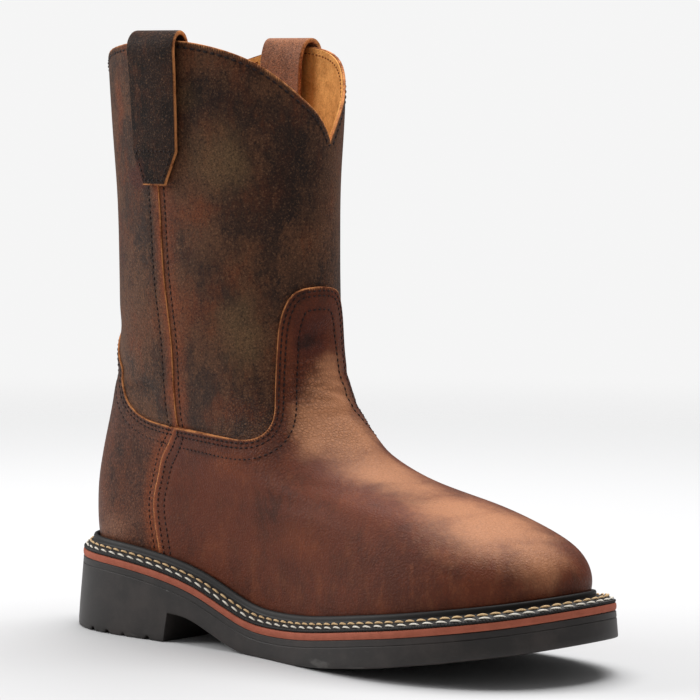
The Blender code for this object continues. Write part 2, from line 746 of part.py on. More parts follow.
def make_upper():
    """One hollow solid: the shell of shaft and lining, with the counter and the vamp laid over it."""
    leather = material("oiled_leather", (0.13, 0.05, 0.022), 0.5)
    upper = ringed("upper", shell_rows(), leather)
    layers = [
        panel("counter_layer", counter_border(), FACE_COUNTER, COUNTER_SUNK, leather),
        panel("vamp_layer", vamp_border(), FACE_VAMP, VAMP_SUNK, leather),
    ]
    for layer in layers:
        join = upper.modifiers.new(layer.name, "BOOLEAN")
        join.operation = "UNION"
        join.object = layer
        layer.hide_render = True
        layer.display_type = "WIRE"
    return upper


def make_strap(name, turn_at_middle, outward_turn, finish):
    rows = strap_rows(turn_at_middle, outward_turn)
    count = len(rows[0])
    faces = side_faces(len(rows), count, ring=False)
    half = count // 2
    for start in (0, (len(rows) - 1) * count):
        for column in range(half - 1):
            low, high = start + column, start + count - 1 - column
            faces.append((low, low + 1, high - 1, high))
    return add_object(name, np.vstack(rows), faces, finish)


def main():
    for old in list(bpy.data.objects):
        bpy.data.objects.remove(old, do_unlink=True)
    make_outsole()
    make_midsole()
    make_welt()
    make_insole()
    make_upper()
    strap_leather = material("strap_leather", (0.11, 0.045, 0.022), 0.55)
    make_strap("pull_strap_lateral", STRAP_TURN, 1.0, strap_leather)
    make_strap("pull_strap_medial", 2.0 - STRAP_TURN, -1.0, strap_leather)


main()
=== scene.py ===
# %% [markdown]
# # Western work boot
#
# A pull-on boot is leather drawn over a wooden last and sewn to a welted sole. This lesson dresses a
# plain solid model of one right boot: every leather panel gets its cut edge and its stitches, and the
# sole its ribs, seams and tread. The solids keep the sizes. Here the same last and the same sole outline
# are worked out again, only finer.

import math
from collections import namedtuple
from functools import lru_cache

import bmesh
import bpy
import numpy as np
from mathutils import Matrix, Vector
from mathutils.geometry import delaunay_2d_cdt
from mathutils.kdtree import KDTree


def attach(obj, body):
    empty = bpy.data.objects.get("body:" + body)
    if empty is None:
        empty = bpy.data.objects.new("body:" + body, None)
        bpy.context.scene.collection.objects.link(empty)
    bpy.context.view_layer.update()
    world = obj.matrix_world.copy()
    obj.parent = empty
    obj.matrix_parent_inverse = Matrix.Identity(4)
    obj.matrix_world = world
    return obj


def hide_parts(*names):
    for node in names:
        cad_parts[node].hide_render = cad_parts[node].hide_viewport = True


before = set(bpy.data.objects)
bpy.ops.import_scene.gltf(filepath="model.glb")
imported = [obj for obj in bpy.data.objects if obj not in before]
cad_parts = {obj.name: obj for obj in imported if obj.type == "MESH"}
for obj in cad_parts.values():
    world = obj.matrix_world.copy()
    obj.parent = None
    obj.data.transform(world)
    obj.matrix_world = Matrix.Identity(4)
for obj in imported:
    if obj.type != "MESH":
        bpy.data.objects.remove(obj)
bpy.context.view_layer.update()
print("solids", sorted(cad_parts))

# %% [markdown]
# ## Sizes
#
# Lengths are in millimetres from the back of the heel, with the toe towards +X, the outer side towards -Y
# and the floor at zero. They become metres from the origin, under the heel, when a mesh is made.

# %% Driving sizes
MM = 0.001
ORIGIN_STATION = 20.0
GAP = 0.3
LENGTH = 308.0
BALL_WIDTH = 110.0
SHAFT_HEIGHT = 290.0
print(f"boot {LENGTH:.0f} mm long, {BALL_WIDTH:.0f} across the ball, {SHAFT_HEIGHT:.0f} high")

# %% [markdown]
# ## Curves
#
# A last is known by a few sections. A natural cubic through them gives every place between, without flats
# or kinks.

# %% Curve helpers
def smooth(start, end, value):
    """0 before start, 1 after end, and a soft step between."""
    share = np.clip((np.asarray(value, float) - start) / (end - start), 0.0, 1.0)
    return share * share * (3.0 - 2.0 * share)


def spline(knots, values, at):
    """A natural cubic through the values at the knots, read at the places asked for."""
    knots = np.asarray(knots, float)
    values = np.asarray(values, float)
    count = len(knots)
    step = np.diff(knots)
    matrix = np.eye(count)
    bend = np.zeros(values.shape)
    for i in range(1, count - 1):
        matrix[i, i - 1 : i + 2] = step[i - 1], 2.0 * (step[i - 1] + step[i]), step[i]
        bend[i] = 6.0 * ((values[i + 1] - values[i]) / step[i] - (values[i] - values[i - 1]) / step[i - 1])
    curve = np.linalg.solve(matrix, bend)
    at = np.clip(np.asarray(at, float), knots[0], knots[-1])
    i = np.clip(np.searchsorted(knots, at, side="right") - 1, 0, count - 2)
    before, after, width = at - knots[i], knots[i + 1] - at, step[i]
    if values.ndim > 1:
        before, after, width = before[..., None], after[..., None], width[..., None]
    cubic = (curve[i] * after**3 + curve[i + 1] * before**3) / (6.0 * width)
    left = (values[i] / width - curve[i] * width / 6.0) * after
    right = (values[i + 1] / width - curve[i + 1] * width / 6.0) * before
    return cubic + left + right


def arc_lengths(points):
    """Distance along a run of points, from 0."""
    steps = np.linalg.norm(np.diff(points, axis=0), axis=1)
    return np.concatenate([[0.0], np.cumsum(steps)])


def unit(vectors):
    """The same directions with a length of 1."""
    return vectors / np.linalg.norm(vectors, axis=-1)[..., None]


# %% [markdown]
# ## The sole's lines
#
# The seat is the line that the foot stands on: high at the heel, down through the arch, and up again at
# the toe. The outline is one closed curve. A turn says where we are around it: 0 at the heel, 0.5 at the
# outer side, 1 at the toe and 1.5 at the inner side.

# %% Sections of the sole
MIDSOLE_THICKNESS = 3.2
BREAST = 83.0
BREAST_SLOPE = 1.0

SoleSection = namedtuple("SoleSection", "station lateral medial")
SOLE_SECTIONS = [
    SoleSection(0.020, 0.191, 0.191),
    SoleSection(0.078, 0.325, 0.320),
    SoleSection(0.170, 0.368, 0.354),
    SoleSection(0.292, 0.368, 0.326),
    SoleSection(0.422, 0.382, 0.326),
    SoleSection(0.552, 0.449, 0.391),
    SoleSection(0.675, 0.516, 0.468),
    SoleSection(0.779, 0.521, 0.487),
    SoleSection(0.877, 0.449, 0.449),
    SoleSection(0.944, 0.318, 0.364),
    SoleSection(0.987, 0.115, 0.229),
]
TOE_TIP_OFFSET = 0.067

SolePoint = namedtuple("SolePoint", "x seat under")
SOLE_LINE = [
    SolePoint(0.0, 38.4, 15.0),
    SolePoint(14.0, 38.3, 15.0),
    SolePoint(28.0, 38.0, 15.0),
    SolePoint(42.0, 37.3, 15.0),
    SolePoint(53.0, 36.4, 15.0),
    SolePoint(64.0, 35.1, 14.8),
    SolePoint(75.0, 33.5, 14.4),
    SolePoint(85.0, 31.6, 13.9),
    SolePoint(95.0, 29.2, 12.9),
    SolePoint(105.0, 26.1, 9.9),
    SolePoint(115.0, 22.4, 6.0),
    SolePoint(126.0, 18.5, 2.2),
    SolePoint(137.0, 15.7, 0.2),
    SolePoint(149.0, 14.6, 0.0),
    SolePoint(161.0, 14.7, 0.0),
    SolePoint(173.0, 15.4, 0.1),
    SolePoint(195.0, 17.9, 1.6),
    SolePoint(216.0, 20.8, 4.1),
    SolePoint(235.0, 23.3, 6.6),
    SolePoint(250.0, 25.4, 8.9),
    SolePoint(265.0, 27.6, 11.2),
    SolePoint(278.0, 29.5, 13.4),
    SolePoint(290.0, 31.4, 15.3),
    SolePoint(300.0, 33.2, 17.2),
    SolePoint(308.0, 34.8, 18.9),
]
print("sole sections", len(SOLE_SECTIONS), "and heights along it", len(SOLE_LINE))

# %% Seat and outline
SEAT_PLACES = 617
OUTLINE_PLACES = 1441


@lru_cache(maxsize=None)
def sole_curve(column):
    """Places along the boot, and one of SOLE_LINE's heights at each of them."""
    along = np.linspace(0.0, LENGTH, SEAT_PLACES)
    return along, spline([point.x for point in SOLE_LINE], [point[column] for point in SOLE_LINE], along)


def seat(x):
    """Height of the midsole's top: high at the heel, down through the arch, up again at the toe."""
    return np.interp(x, *sole_curve(1))


def outsole_top(x):
    """Height of the outsole's top, under the midsole."""
    return seat(x) - MIDSOLE_THICKNESS - GAP


def outsole_bottom(x):
    """The floor under the heel, then the breast's step, the arch and the forefoot."""
    under = np.maximum(np.interp(x, *sole_curve(2)), 0.0)
    return under * np.clip((np.asarray(x, float) - BREAST) / BREAST_SLOPE, 0.0, 1.0)


@lru_cache(maxsize=None)
def outline(inset):
    """The sole's outline moved inwards by inset, as its outer and inner halves from heel to toe."""
    outer = [(part.station * LENGTH, -part.lateral * BALL_WIDTH) for part in SOLE_SECTIONS]
    inner = [(part.station * LENGTH, part.medial * BALL_WIDTH) for part in reversed(SOLE_SECTIONS)]
    corners = [(0.0, 0.0)] + outer + [(LENGTH, TOE_TIP_OFFSET * BALL_WIDTH)] + inner
    spare = 3
    wrapped = np.array(corners[-spare:] + corners + corners[: spare + 1], float)
    along = arc_lengths(wrapped)
    dense = np.linspace(along[spare], along[spare + len(corners)], OUTLINE_PLACES)[:-1]
    curve = spline(along, wrapped, dense)
    tangent = np.roll(curve, -1, axis=0) - np.roll(curve, 1, axis=0)
    inward = unit(np.column_stack([-tangent[:, 1], tangent[:, 0]]))
    curve = curve + inset * inward
    curve = np.roll(curve, -int(curve[:, 0].argmin()), axis=0)
    toe = int(curve[:, 0].argmax())
    lateral = curve[: toe + 1]
    medial = np.vstack([curve[toe:], curve[:1]])[::-1]
    return lateral, medial


def station_share(turn):
    """How far along the boot a turn lies, from 0 at the heel to 1 at the toe."""
    return (1.0 - np.cos(np.pi * np.asarray(turn, float))) / 2.0


def plan(turn, inset):
    """Points of the outline, moved inwards by inset, at the turns asked for."""
    lateral, medial = outline(inset)
    x = lateral[0, 0] + (lateral[-1, 0] - lateral[0, 0]) * station_share(turn)
    outer = np.interp(x, lateral[:, 0], lateral[:, 1])
    inner = np.interp(x, medial[:, 0], medial[:, 1])
    return x, np.where(np.mod(turn, 2.0) <= 1.0, outer, inner)


heel_edge, toe_edge = outline(0.0)[0][0], outline(0.0)[0][-1]
print(f"outline from {heel_edge[0]:.1f} to {toe_edge[0]:.1f} mm")

# %% [markdown]
# ## The last
#
# Rings lean up the boot one after another: ring 0 is the feather line, where the leather turns in over
# the sole, and ring 13 is above the collar. A place on the leather is a turn and a level, and a skin lies
# some way out from there.

# %% Rings of the last, and how far out each skin lies
FEATHER_INSET = 9.8
FACE_SHAFT_FRONT = -1.3
FACE_SHAFT_BACK = -0.6
FACE_COUNTER = 0.3
FACE_VAMP = 0.9

FormRing = namedtuple(
    "FormRing", "back_x back_z front_x front_z front_y lateral medial foot_share nose_power sag"
)
FORM_RINGS = [
    FormRing(0.028, 0.137, 0.955, 0.124, 0.064, 0.427, 0.391, 1.00, 2.3, 1.00),
    FormRing(0.023, 0.170, 0.959, 0.158, 0.064, 0.436, 0.400, 1.00, 2.3, 1.00),
    FormRing(0.020, 0.207, 0.935, 0.197, 0.064, 0.427, 0.391, 0.95, 2.3, 0.90),
    FormRing(0.021, 0.248, 0.870, 0.228, 0.059, 0.409, 0.373, 0.90, 2.3, 0.70),
    FormRing(0.028, 0.290, 0.773, 0.255, 0.055, 0.391, 0.359, 0.80, 2.3, 0.50),
    FormRing(0.039, 0.334, 0.653, 0.281, 0.045, 0.377, 0.345, 0.60, 2.2, 0.30),
    FormRing(0.054, 0.379, 0.552, 0.334, 0.036, 0.377, 0.350, 0.40, 2.1, 0.15),
    FormRing(0.067, 0.431, 0.494, 0.421, 0.027, 0.382, 0.364, 0.20, 2.0, 0.05),
    FormRing(0.073, 0.490, 0.482, 0.521, 0.018, 0.386, 0.377, 0.10, 2.0, 0.00),
    FormRing(0.075, 0.559, 0.484, 0.617, 0.009, 0.395, 0.391, 0.00, 2.0, 0.00),
    FormRing(0.076, 0.641, 0.484, 0.703, 0.000, 0.405, 0.405, 0.00, 2.0, 0.00),
    FormRing(0.075, 0.738, 0.485, 0.797, 0.000, 0.418, 0.418, 0.00, 2.0, 0.00),
    FormRing(0.068, 0.848, 0.489, 0.893, 0.000, 0.436, 0.436, 0.00, 2.0, 0.00),
    FormRing(0.060, 1.000, 0.490, 1.034, 0.000, 0.455, 0.455, 0.00, 2.0, 0.00),
]
TOP_LEVEL = len(FORM_RINGS) - 1.0
print("rings of the last", len(FORM_RINGS))

# %% The form that the leather is drawn over
TURN_NUDGE = 0.004
LEVEL_NUDGE = 0.03


def form_ring(level):
    """The values of the ring at a level, in millimetres."""
    ring = spline(np.arange(len(FORM_RINGS)), FORM_RINGS, level)
    scales = [LENGTH, SHAFT_HEIGHT, LENGTH, SHAFT_HEIGHT, BALL_WIDTH, BALL_WIDTH, BALL_WIDTH, 1.0, 1.0, 1.0]
    return FormRing(*np.moveaxis(ring * np.array(scales), -1, 0))


def form(turn, level):
    """Points of the form that the leather is drawn over."""
    turn, level = np.broadcast_arrays(np.asarray(turn, float), np.asarray(level, float))
    ring = form_ring(level)
    share = station_share(turn)
    lateral_side = np.mod(turn, 2.0) <= 1.0
    half = np.where(lateral_side, ring.lateral, ring.medial)
    sole_x, foot_y = plan(np.mod(turn, 2.0), FEATHER_INSET)
    lateral_edge, medial_edge = outline(FEATHER_INSET)
    widest = np.where(lateral_side, -lateral_edge[:, 1].min(), medial_edge[:, 1].max())
    across = np.abs(2.0 * share - 1.0)
    power = np.where(share > 0.5, ring.nose_power, 2.0)
    oval = np.clip(1.0 - across**power, 0.0, None) ** (1.0 / power)
    oval_y = np.where(lateral_side, -half, half) * oval + ring.front_y * share**2
    x = ring.back_x + (ring.front_x - ring.back_x) * share
    y = ring.foot_share * foot_y * half / widest + (1.0 - ring.foot_share) * oval_y
    flat = ring.back_z + (ring.front_z - ring.back_z) * share
    heel_x, toe_x = lateral_edge[0, 0], lateral_edge[-1, 0]
    lift = (ring.back_z - seat(heel_x)) * (1.0 - share) + (ring.front_z - seat(toe_x)) * share
    z = (1.0 - ring.sag) * flat + ring.sag * (seat(sole_x) + lift)
    return np.stack([x, y, z], axis=-1)


def form_steps(turn, level):
    """How the form moves for a step of turn and for a step of level."""
    level = np.maximum(level, 0.0)
    around = form(turn + TURN_NUDGE, level) - form(turn - TURN_NUDGE, level)
    upward = form(turn, level + LEVEL_NUDGE) - form(turn, level - LEVEL_NUDGE)
    return around / (2.0 * TURN_NUDGE), upward / (2.0 * LEVEL_NUDGE)


def form_normal(turn, level):
    """The outward direction of the form."""
    return unit(np.cross(*form_steps(turn, level)))


# %% [markdown]
# ## Creases
#
# Worn-in leather folds where the foot bends. Each crease is a soft trough at its own place, with its
# length in turns, its width in levels and its depth in millimetres. A negative depth is a ridge. Every
# layer takes the same relief, so the leather bends as one.

# %% Troughs and ridges of the upper
Crease = namedtuple("Crease", "turn level length width lean depth")
CREASES = [
    Crease(0.945, 7.92, 0.060, 0.170, 0.6, 2.20),
    Crease(0.930, 7.62, 0.080, 0.055, 0.5, 0.70),
    Crease(0.980, 7.50, 0.060, 0.050, -0.3, 0.65),
    Crease(0.890, 7.44, 0.050, 0.050, 0.8, 0.70),
    Crease(0.955, 7.36, 0.070, 0.052, 0.2, 0.75),
    Crease(0.900, 7.27, 0.060, 0.050, -0.5, 0.65),
    Crease(1.000, 7.22, 0.060, 0.055, -0.8, 0.75),
    Crease(0.860, 7.14, 0.045, 0.050, 0.9, 0.65),
    Crease(0.940, 7.12, 0.060, 0.052, 0.4, 0.70),
    Crease(0.990, 7.02, 0.060, 0.060, -0.9, 0.75),
    Crease(0.880, 6.99, 0.050, 0.052, 0.3, 0.60),
    Crease(0.930, 6.88, 0.070, 0.070, -0.4, 0.60),
    Crease(1.050, 6.90, 0.050, 0.080, -1.2, 0.70),
    Crease(0.965, 6.60, 0.100, 0.120, 0.0, 0.50),
    Crease(0.850, 6.50, 0.080, 0.090, -1.0, 0.35),
    Crease(0.870, 6.28, 0.060, 0.160, -1.5, 0.55),
    Crease(0.770, 6.10, 0.120, 0.250, -1.5, 0.50),
    Crease(0.950, 5.55, 0.220, 0.260, 0.0, 0.60),
    Crease(0.760, 5.00, 0.100, 0.300, -2.5, 0.70),
    Crease(0.640, 4.30, 0.090, 0.380, -3.0, 0.80),
    Crease(0.800, 3.90, 0.120, 0.350, -2.0, -0.50),
    Crease(1.080, 7.30, 0.080, 0.090, -0.5, 0.60),
    Crease(1.100, 6.70, 0.120, 0.090, 0.5, 0.55),
    Crease(1.200, 5.90, 0.120, 0.250, 1.5, 0.70),
    Crease(1.330, 4.60, 0.110, 0.350, 2.5, 0.90),
    Crease(0.230, 7.20, 0.120, 0.280, 1.6, 1.30),
    Crease(0.360, 6.85, 0.070, 0.200, 0.8, 2.20),
    Crease(0.120, 8.30, 0.160, 0.320, 1.0, 0.90),
    Crease(1.760, 7.30, 0.130, 0.280, -1.6, 1.20),
    Crease(1.860, 8.40, 0.150, 0.320, -1.0, 0.90),
    Crease(0.620, 7.60, 0.090, 0.600, 2.0, 0.90),
    Crease(0.700, 8.90, 0.120, 0.700, -2.0, -0.70),
    Crease(0.600, 10.60, 0.110, 0.700, 1.0, 0.80),
    Crease(0.800, 10.20, 0.120, 0.800, 0.0, 0.60),
    Crease(1.350, 8.60, 0.140, 0.700, -2.0, 0.90),
    Crease(1.300, 10.60, 0.120, 0.800, 1.0, 0.70),
]


def relief(turn, level):
    """How far the creases move the leather outwards, in millimetres."""
    turn = np.mod(turn, 2.0)
    total = np.zeros(np.broadcast(turn, level).shape)
    for crease in CREASES:
        across = np.mod(turn - crease.turn + 1.0, 2.0) - 1.0
        rise = level - crease.level - crease.lean * across
        total -= crease.depth * np.exp(-((across / crease.length) ** 2) - (rise / crease.width) ** 2)
    return total


def place(turn, level, outward):
    """Points of the creased leather, outward of the form."""
    out = np.asarray(outward, float) + relief(turn, level)
    return form(turn, level) + form_normal(turn, level) * out[..., None]


print("creases", len(CREASES))

# %% [markdown]
# ## Edges of the panels
#
# A pattern cutter draws the top of the vamp and the collar as curves on the side of the last. Here each
# is a few points of turn and height with a curve through them. Both sides share the vamp's line, and its
# tab and the collar's dip stand a little to one side of the toe, because the last is not the same on its
# two sides.

# %% Heights of the edges
LEVEL_PLACES = 261
EDGE_PLACES = 1200
TWIST_PLACES = 1601
TURN_WEIGHT = 100.0

EdgePoint = namedtuple("EdgePoint", "turn height")
VAMP_LINE = [
    EdgePoint(0.000, 152.0),
    EdgePoint(0.120, 148.0),
    EdgePoint(0.205, 137.0),
    EdgePoint(0.250, 125.0),
    EdgePoint(0.295, 113.5),
    EdgePoint(0.360, 106.5),
    EdgePoint(0.470, 103.8),
    EdgePoint(0.600, 102.0),
    EdgePoint(0.705, 101.5),
    EdgePoint(0.786, 107.0),
    EdgePoint(0.832, 121.0),
    EdgePoint(0.854, 146.0),
    EdgePoint(0.874, 163.0),
    EdgePoint(0.916, 171.0),
    EdgePoint(1.000, 173.0),
]
TAB_TWIST = 0.036
TAB_TWIST_SPAN = (0.6, 0.8)
COLLAR_TWIST = 0.035
TWIST_START = 0.6
COLLAR_LATERAL = [
    EdgePoint(0.000, 268.0),
    EdgePoint(0.110, 272.5),
    EdgePoint(0.190, 279.5),
    EdgePoint(0.270, 284.8),
    EdgePoint(0.350, 287.3),
    EdgePoint(0.500, 289.8),
    EdgePoint(0.620, 287.8),
    EdgePoint(0.740, 280.5),
    EdgePoint(0.870, 264.0),
    EdgePoint(0.950, 252.5),
    EdgePoint(1.000, 242.0),
]
COLLAR_MEDIAL = [
    EdgePoint(0.000, 268.0),
    EdgePoint(0.120, 269.5),
    EdgePoint(0.250, 274.5),
    EdgePoint(0.370, 281.0),
    EdgePoint(0.440, 284.8),
    EdgePoint(0.520, 286.8),
    EdgePoint(0.620, 285.3),
    EdgePoint(0.740, 278.5),
    EdgePoint(0.870, 263.0),
    EdgePoint(0.950, 252.0),
    EdgePoint(1.000, 242.0),
]


def level_at(turn, height):
    """The ring level where the form reaches a height, at each turn."""
    levels = np.linspace(0.0, TOP_LEVEL, LEVEL_PLACES)
    turn, height = np.broadcast_arrays(np.asarray(turn, float), np.asarray(height, float))
    heights = form(turn.ravel()[:, None], levels)[..., 2]
    found = [np.interp(one, row, levels) for one, row in zip(height.ravel(), heights)]
    return np.array(found).reshape(turn.shape)


def folded_turn(turn):
    """Turns with the inner side folded onto the outer one, from 0 at the heel to 1 at the toe."""
    return 1.0 - np.abs(1.0 - np.mod(turn, 2.0))


def edge_height(points, turn):
    """Height of an edge line at the turns asked for, with both sides folded onto one."""
    points = np.array(points, float)
    along = arc_lengths(points * [TURN_WEIGHT, 1.0])
    curve = spline(along, points, np.linspace(0.0, along[-1], EDGE_PLACES))
    return np.interp(folded_turn(turn), np.maximum.accumulate(curve[:, 0]), curve[:, 1])


def vamp_height(turn):
    """Height of the vamp's top edge. Its tab stands a little to the outer side of the toe's turn."""
    return edge_height(VAMP_LINE, turn + TAB_TWIST * smooth(*TAB_TWIST_SPAN, folded_turn(turn)))


def twisted(turn):
    """Turns moved towards the inner side, most at the toe and not at all behind the sides."""
    return turn + COLLAR_TWIST * smooth(TWIST_START, 1.0, folded_turn(turn))


def collar_height(turn):
    """Height of the collar's edge at the turns asked for."""
    dense = np.linspace(0.0, 2.0, TWIST_PLACES)
    turn = np.interp(np.mod(turn, 2.0), twisted(dense), dense)
    return np.where(turn <= 1.0, edge_height(COLLAR_LATERAL, turn), edge_height(COLLAR_MEDIAL, turn))


print(f"collar {float(collar_height(0.5)):.0f} mm high at the side, {float(collar_height(1.0)):.0f} in front")

# %% [markdown]
# ## Finishes
#
# A finish is a sum of simple layers: a base colour, clouds where the oil has moved, rubbed places, painted
# highlights and painted shade, and the pale cut edge. Writing shader maths as Python sums keeps it
# readable, so one small class wraps a socket and turns each operator into a Math node.

# %% Shader sockets as numbers
class Wire:
    """A node's output, or a number, that can be used in sums."""

    def __init__(self, tree, source):
        self.tree = tree
        self.source = source

    def feed(self, socket):
        """Puts this value on a socket."""
        if isinstance(self.source, bpy.types.NodeSocket):
            self.tree.links.new(self.source, socket)
        else:
            socket.default_value = self.source

    def node(self, kind, settings=None, output=0, **inputs):
        """A new node with its settings made first, then its sockets. Returns one of its outputs."""
        made = self.tree.nodes.new(kind)
        for key, value in (settings or {}).items():
            setattr(made, key, value)
        for key, value in inputs.items():
            name = key.replace("_", " ").title() if not key.startswith("in") else int(key[2:])
            wire = value if isinstance(value, Wire) else Wire(self.tree, value)
            wire.feed(made.inputs[name])
        return Wire(self.tree, made.outputs[output])

    def math(self, operation, other):
        """A Math node's result on this value and another."""
        return self.node("ShaderNodeMath", {"operation": operation}, in0=self, in1=other)

    def __add__(self, other):
        return self.math("ADD", other)

    __radd__ = __add__

    def __sub__(self, other):
        return self.math("SUBTRACT", other)

    def __rsub__(self, other):
        return Wire(self.tree, other).math("SUBTRACT", self)

    def __mul__(self, other):
        return self.math("MULTIPLY", other)

    __rmul__ = __mul__

    def at_least(self, other):
        return self.math("MAXIMUM", other)

    def at_most(self, other):
        return self.math("MINIMUM", other)

    def ramp(self, start, end):
        """0 before start, 1 after end, and a soft step between."""
        settings = {"interpolation_type": "SMOOTHSTEP"}
        return self.node("ShaderNodeMapRange", settings, in0=self, in1=start, in2=end, in3=0.0, in4=1.0)

    def tint(self, colour, amount):
        """This colour, moved towards another by amount."""
        settings = {"data_type": "RGBA"}
        return self.node("ShaderNodeMix", settings, output=2, in0=amount, in6=self, in7=colour)


def srgb(red, green, blue):
    """A colour from screen values of 0 to 255, as the linear values that a shader wants."""
    values = [channel / 255.0 for channel in (red, green, blue)]
    linear = [value / 12.92 if value <= 0.04045 else ((value + 0.055) / 1.055) ** 2.4 for value in values]
    return (*linear, 1.0)


class Finish:
    """A material in the making, with the places and noises that its layers need."""

    def __init__(self, name):
        self.material = bpy.data.materials.new(name)
        self.material.use_nodes = True
        self.tree = self.material.node_tree
        self.shader = self.tree.nodes["Principled BSDF"]
        self.spot = Wire(self.tree, 0.0).node("ShaderNodeTexCoord", output=3)

    def wire(self, value):
        """A number or a colour as a Wire of this material."""
        return Wire(self.tree, value)

    def vector(self, operation, *parts, **named):
        """A Vector Math node's result."""
        inputs = {f"in{i}": part for i, part in enumerate(parts)}
        inputs.update(named)
        output = 1 if operation in ("LENGTH", "DISTANCE") else 0
        settings = {"operation": operation}
        return self.wire(0.0).node("ShaderNodeVectorMath", settings, output=output, **inputs)

    def noise(self, size, detail=3.0, roughness=0.5, shift=0.0, stretch=(1.0, 1.0, 1.0)):
        """Noise with features of about size millimetres, from 0 to 1."""
        scale = tuple(share / (size * MM) for share in stretch)
        moved = self.vector("MULTIPLY_ADD", self.spot, scale, (shift, shift * 0.7, -shift))
        inputs = {"vector": moved, "scale": 1.0, "detail": detail, "roughness": roughness}
        return self.wire(0.0).node("ShaderNodeTexNoise", **inputs)

    def warped_spot(self, size, reach):
        """The place on the boot, moved about by clouds of size, up to reach millimetres."""
        moved = self.vector("SCALE", self.spot, in3=1.0 / (size * MM))
        clouds = self.wire(0.0).node("ShaderNodeTexNoise", output=1, vector=moved, scale=1.0, detail=3.0)
        centred = self.vector("SUBTRACT", clouds, (0.5, 0.5, 0.5))
        return self.vector("MULTIPLY_ADD", centred, (reach * 2.0 * MM,) * 3, self.spot)

    def pebbles(self, size, reach):
        """Rounded pebbles of about size millimetres with narrow valleys between them, from 0 to 1."""
        moved = self.vector("SCALE", self.warped_spot(size * 1.6, reach), in3=1.0 / (size * MM))
        settings = {"feature": "DISTANCE_TO_EDGE"}
        valleys = self.wire(0.0).node("ShaderNodeTexVoronoi", settings, vector=moved, scale=1.0)
        return valleys.ramp(0.0, 0.3)

    def attribute(self, name):
        """A value that the mesh carries at each point."""
        return self.wire(0.0).node("ShaderNodeAttribute", {"attribute_name": name}, output=2)

    def set(self, socket, value):
        """A value or a wire on one of the shader's own sockets."""
        self.wire(value.source if isinstance(value, Wire) else value).feed(self.shader.inputs[socket])

    def bump(self, height, depth, strength=1.0, under=None):
        """A bumped normal from a height, whose full range is depth millimetres."""
        inputs = {"strength": strength, "distance": depth * MM, "height": height}
        if under is not None:
            inputs["normal"] = under
        return self.wire(0.0).node("ShaderNodeBump", **inputs)


# %% [markdown]
# ## The leather
#
# Oiled pull-up leather is nearly black where the oil sits and glows rusty orange where it has been bent,
# rubbed or stretched over the last. The clouds are noise. The larger rubs are placed as soft spots in the
# boot's own millimetres, and they fray because the place that they read is warped by noise.
# Not every spot is a rub: the dark ones are oil and also painted shade in the folds and along the low sides,
# and the pale ones are dust and also a painted highlight along the instep and over the toe.

# %% Places that are rubbed and red, dark with oil and painted shade, and pale with dust and painted highlight
Spot = namedtuple("Spot", "x y z reach flat strength")
WRINKLED = [
    Spot(156.0, -8.0, 148.0, 22.0, 1.00, 0.40),
    Spot(150.0, -14.0, 128.0, 24.0, 0.90, 0.80),
    Spot(140.0, -30.0, 108.0, 30.0, 0.80, 0.80),
    Spot(170.0, -6.0, 106.0, 26.0, 0.80, 0.50),
    Spot(116.0, -38.0, 96.0, 22.0, 0.80, 0.50),
    Spot(150.0, 34.0, 110.0, 30.0, 0.80, 0.70),
    Spot(64.0, -40.0, 122.0, 18.0, 0.70, 0.50),
]
RUBBED = [
    Spot(62.0, -43.0, 290.0, 16.0, 0.60, 0.90),
    Spot(52.0, -42.0, 262.0, 9.0, 2.60, 0.70),
    Spot(100.0, -43.0, 208.0, 26.0, 0.55, 0.70),
    Spot(97.0, -42.0, 160.0, 30.0, 0.90, 0.55),
    Spot(84.0, -40.0, 120.0, 20.0, 0.70, 0.60),
    Spot(120.0, -36.0, 112.0, 24.0, 0.50, 0.55),
    Spot(60.0, -44.0, 150.0, 26.0, 0.90, 0.45),
    Spot(84.0, 43.0, 205.0, 26.0, 0.60, 0.80),
    Spot(110.0, 38.0, 130.0, 24.0, 0.60, 0.60),
    Spot(30.0, 20.0, 220.0, 26.0, 0.80, 0.55),
    Spot(22.0, 0.0, 120.0, 20.0, 0.80, 0.50),
    Spot(120.0, -34.0, 88.0, 26.0, 0.50, 0.55),
    Spot(170.0, -38.0, 55.0, 34.0, 0.60, 0.35),
    Spot(22.0, -14.0, 62.0, 26.0, 0.80, 0.35),
]
# Dark spots: oil, and painted shade in the tab's fold, in the trough behind the ankle and along the low
# sides.
OIL_AND_SHADE_SPOTS = [
    Spot(112.0, -42.0, 262.0, 40.0, 0.60, 0.75),
    Spot(150.0, -14.0, 225.0, 38.0, 1.20, 0.80),
    Spot(106.0, -42.0, 182.0, 24.0, 0.80, 0.60),
    Spot(150.0, -14.0, 175.0, 30.0, 0.90, 0.60),
    Spot(26.0, -38.0, 240.0, 24.0, 1.60, 0.65),
    Spot(26.0, -36.0, 180.0, 20.0, 1.40, 0.45),
    Spot(64.0, -40.0, 124.0, 20.0, 0.50, 0.70),
    Spot(150.0, -10.0, 148.0, 16.0, 0.45, 0.75),
    Spot(60.0, 44.0, 240.0, 40.0, 0.80, 0.70),
    Spot(120.0, 36.0, 200.0, 36.0, 0.80, 0.60),
    Spot(148.0, -38.0, 68.0, 34.0, 0.70, 0.50),
    Spot(222.0, -14.0, 80.0, 20.0, 0.60, 0.45),
    Spot(262.0, -34.0, 52.0, 22.0, 0.50, 0.35),
    Spot(300.0, 4.0, 40.0, 14.0, 1.00, 0.50),
    Spot(150.0, 36.0, 70.0, 30.0, 0.60, 0.50),
    Spot(40.0, -30.0, 90.0, 16.0, 0.70, 0.50),
    Spot(68.0, -36.0, 88.0, 20.0, 0.80, 0.35),
]
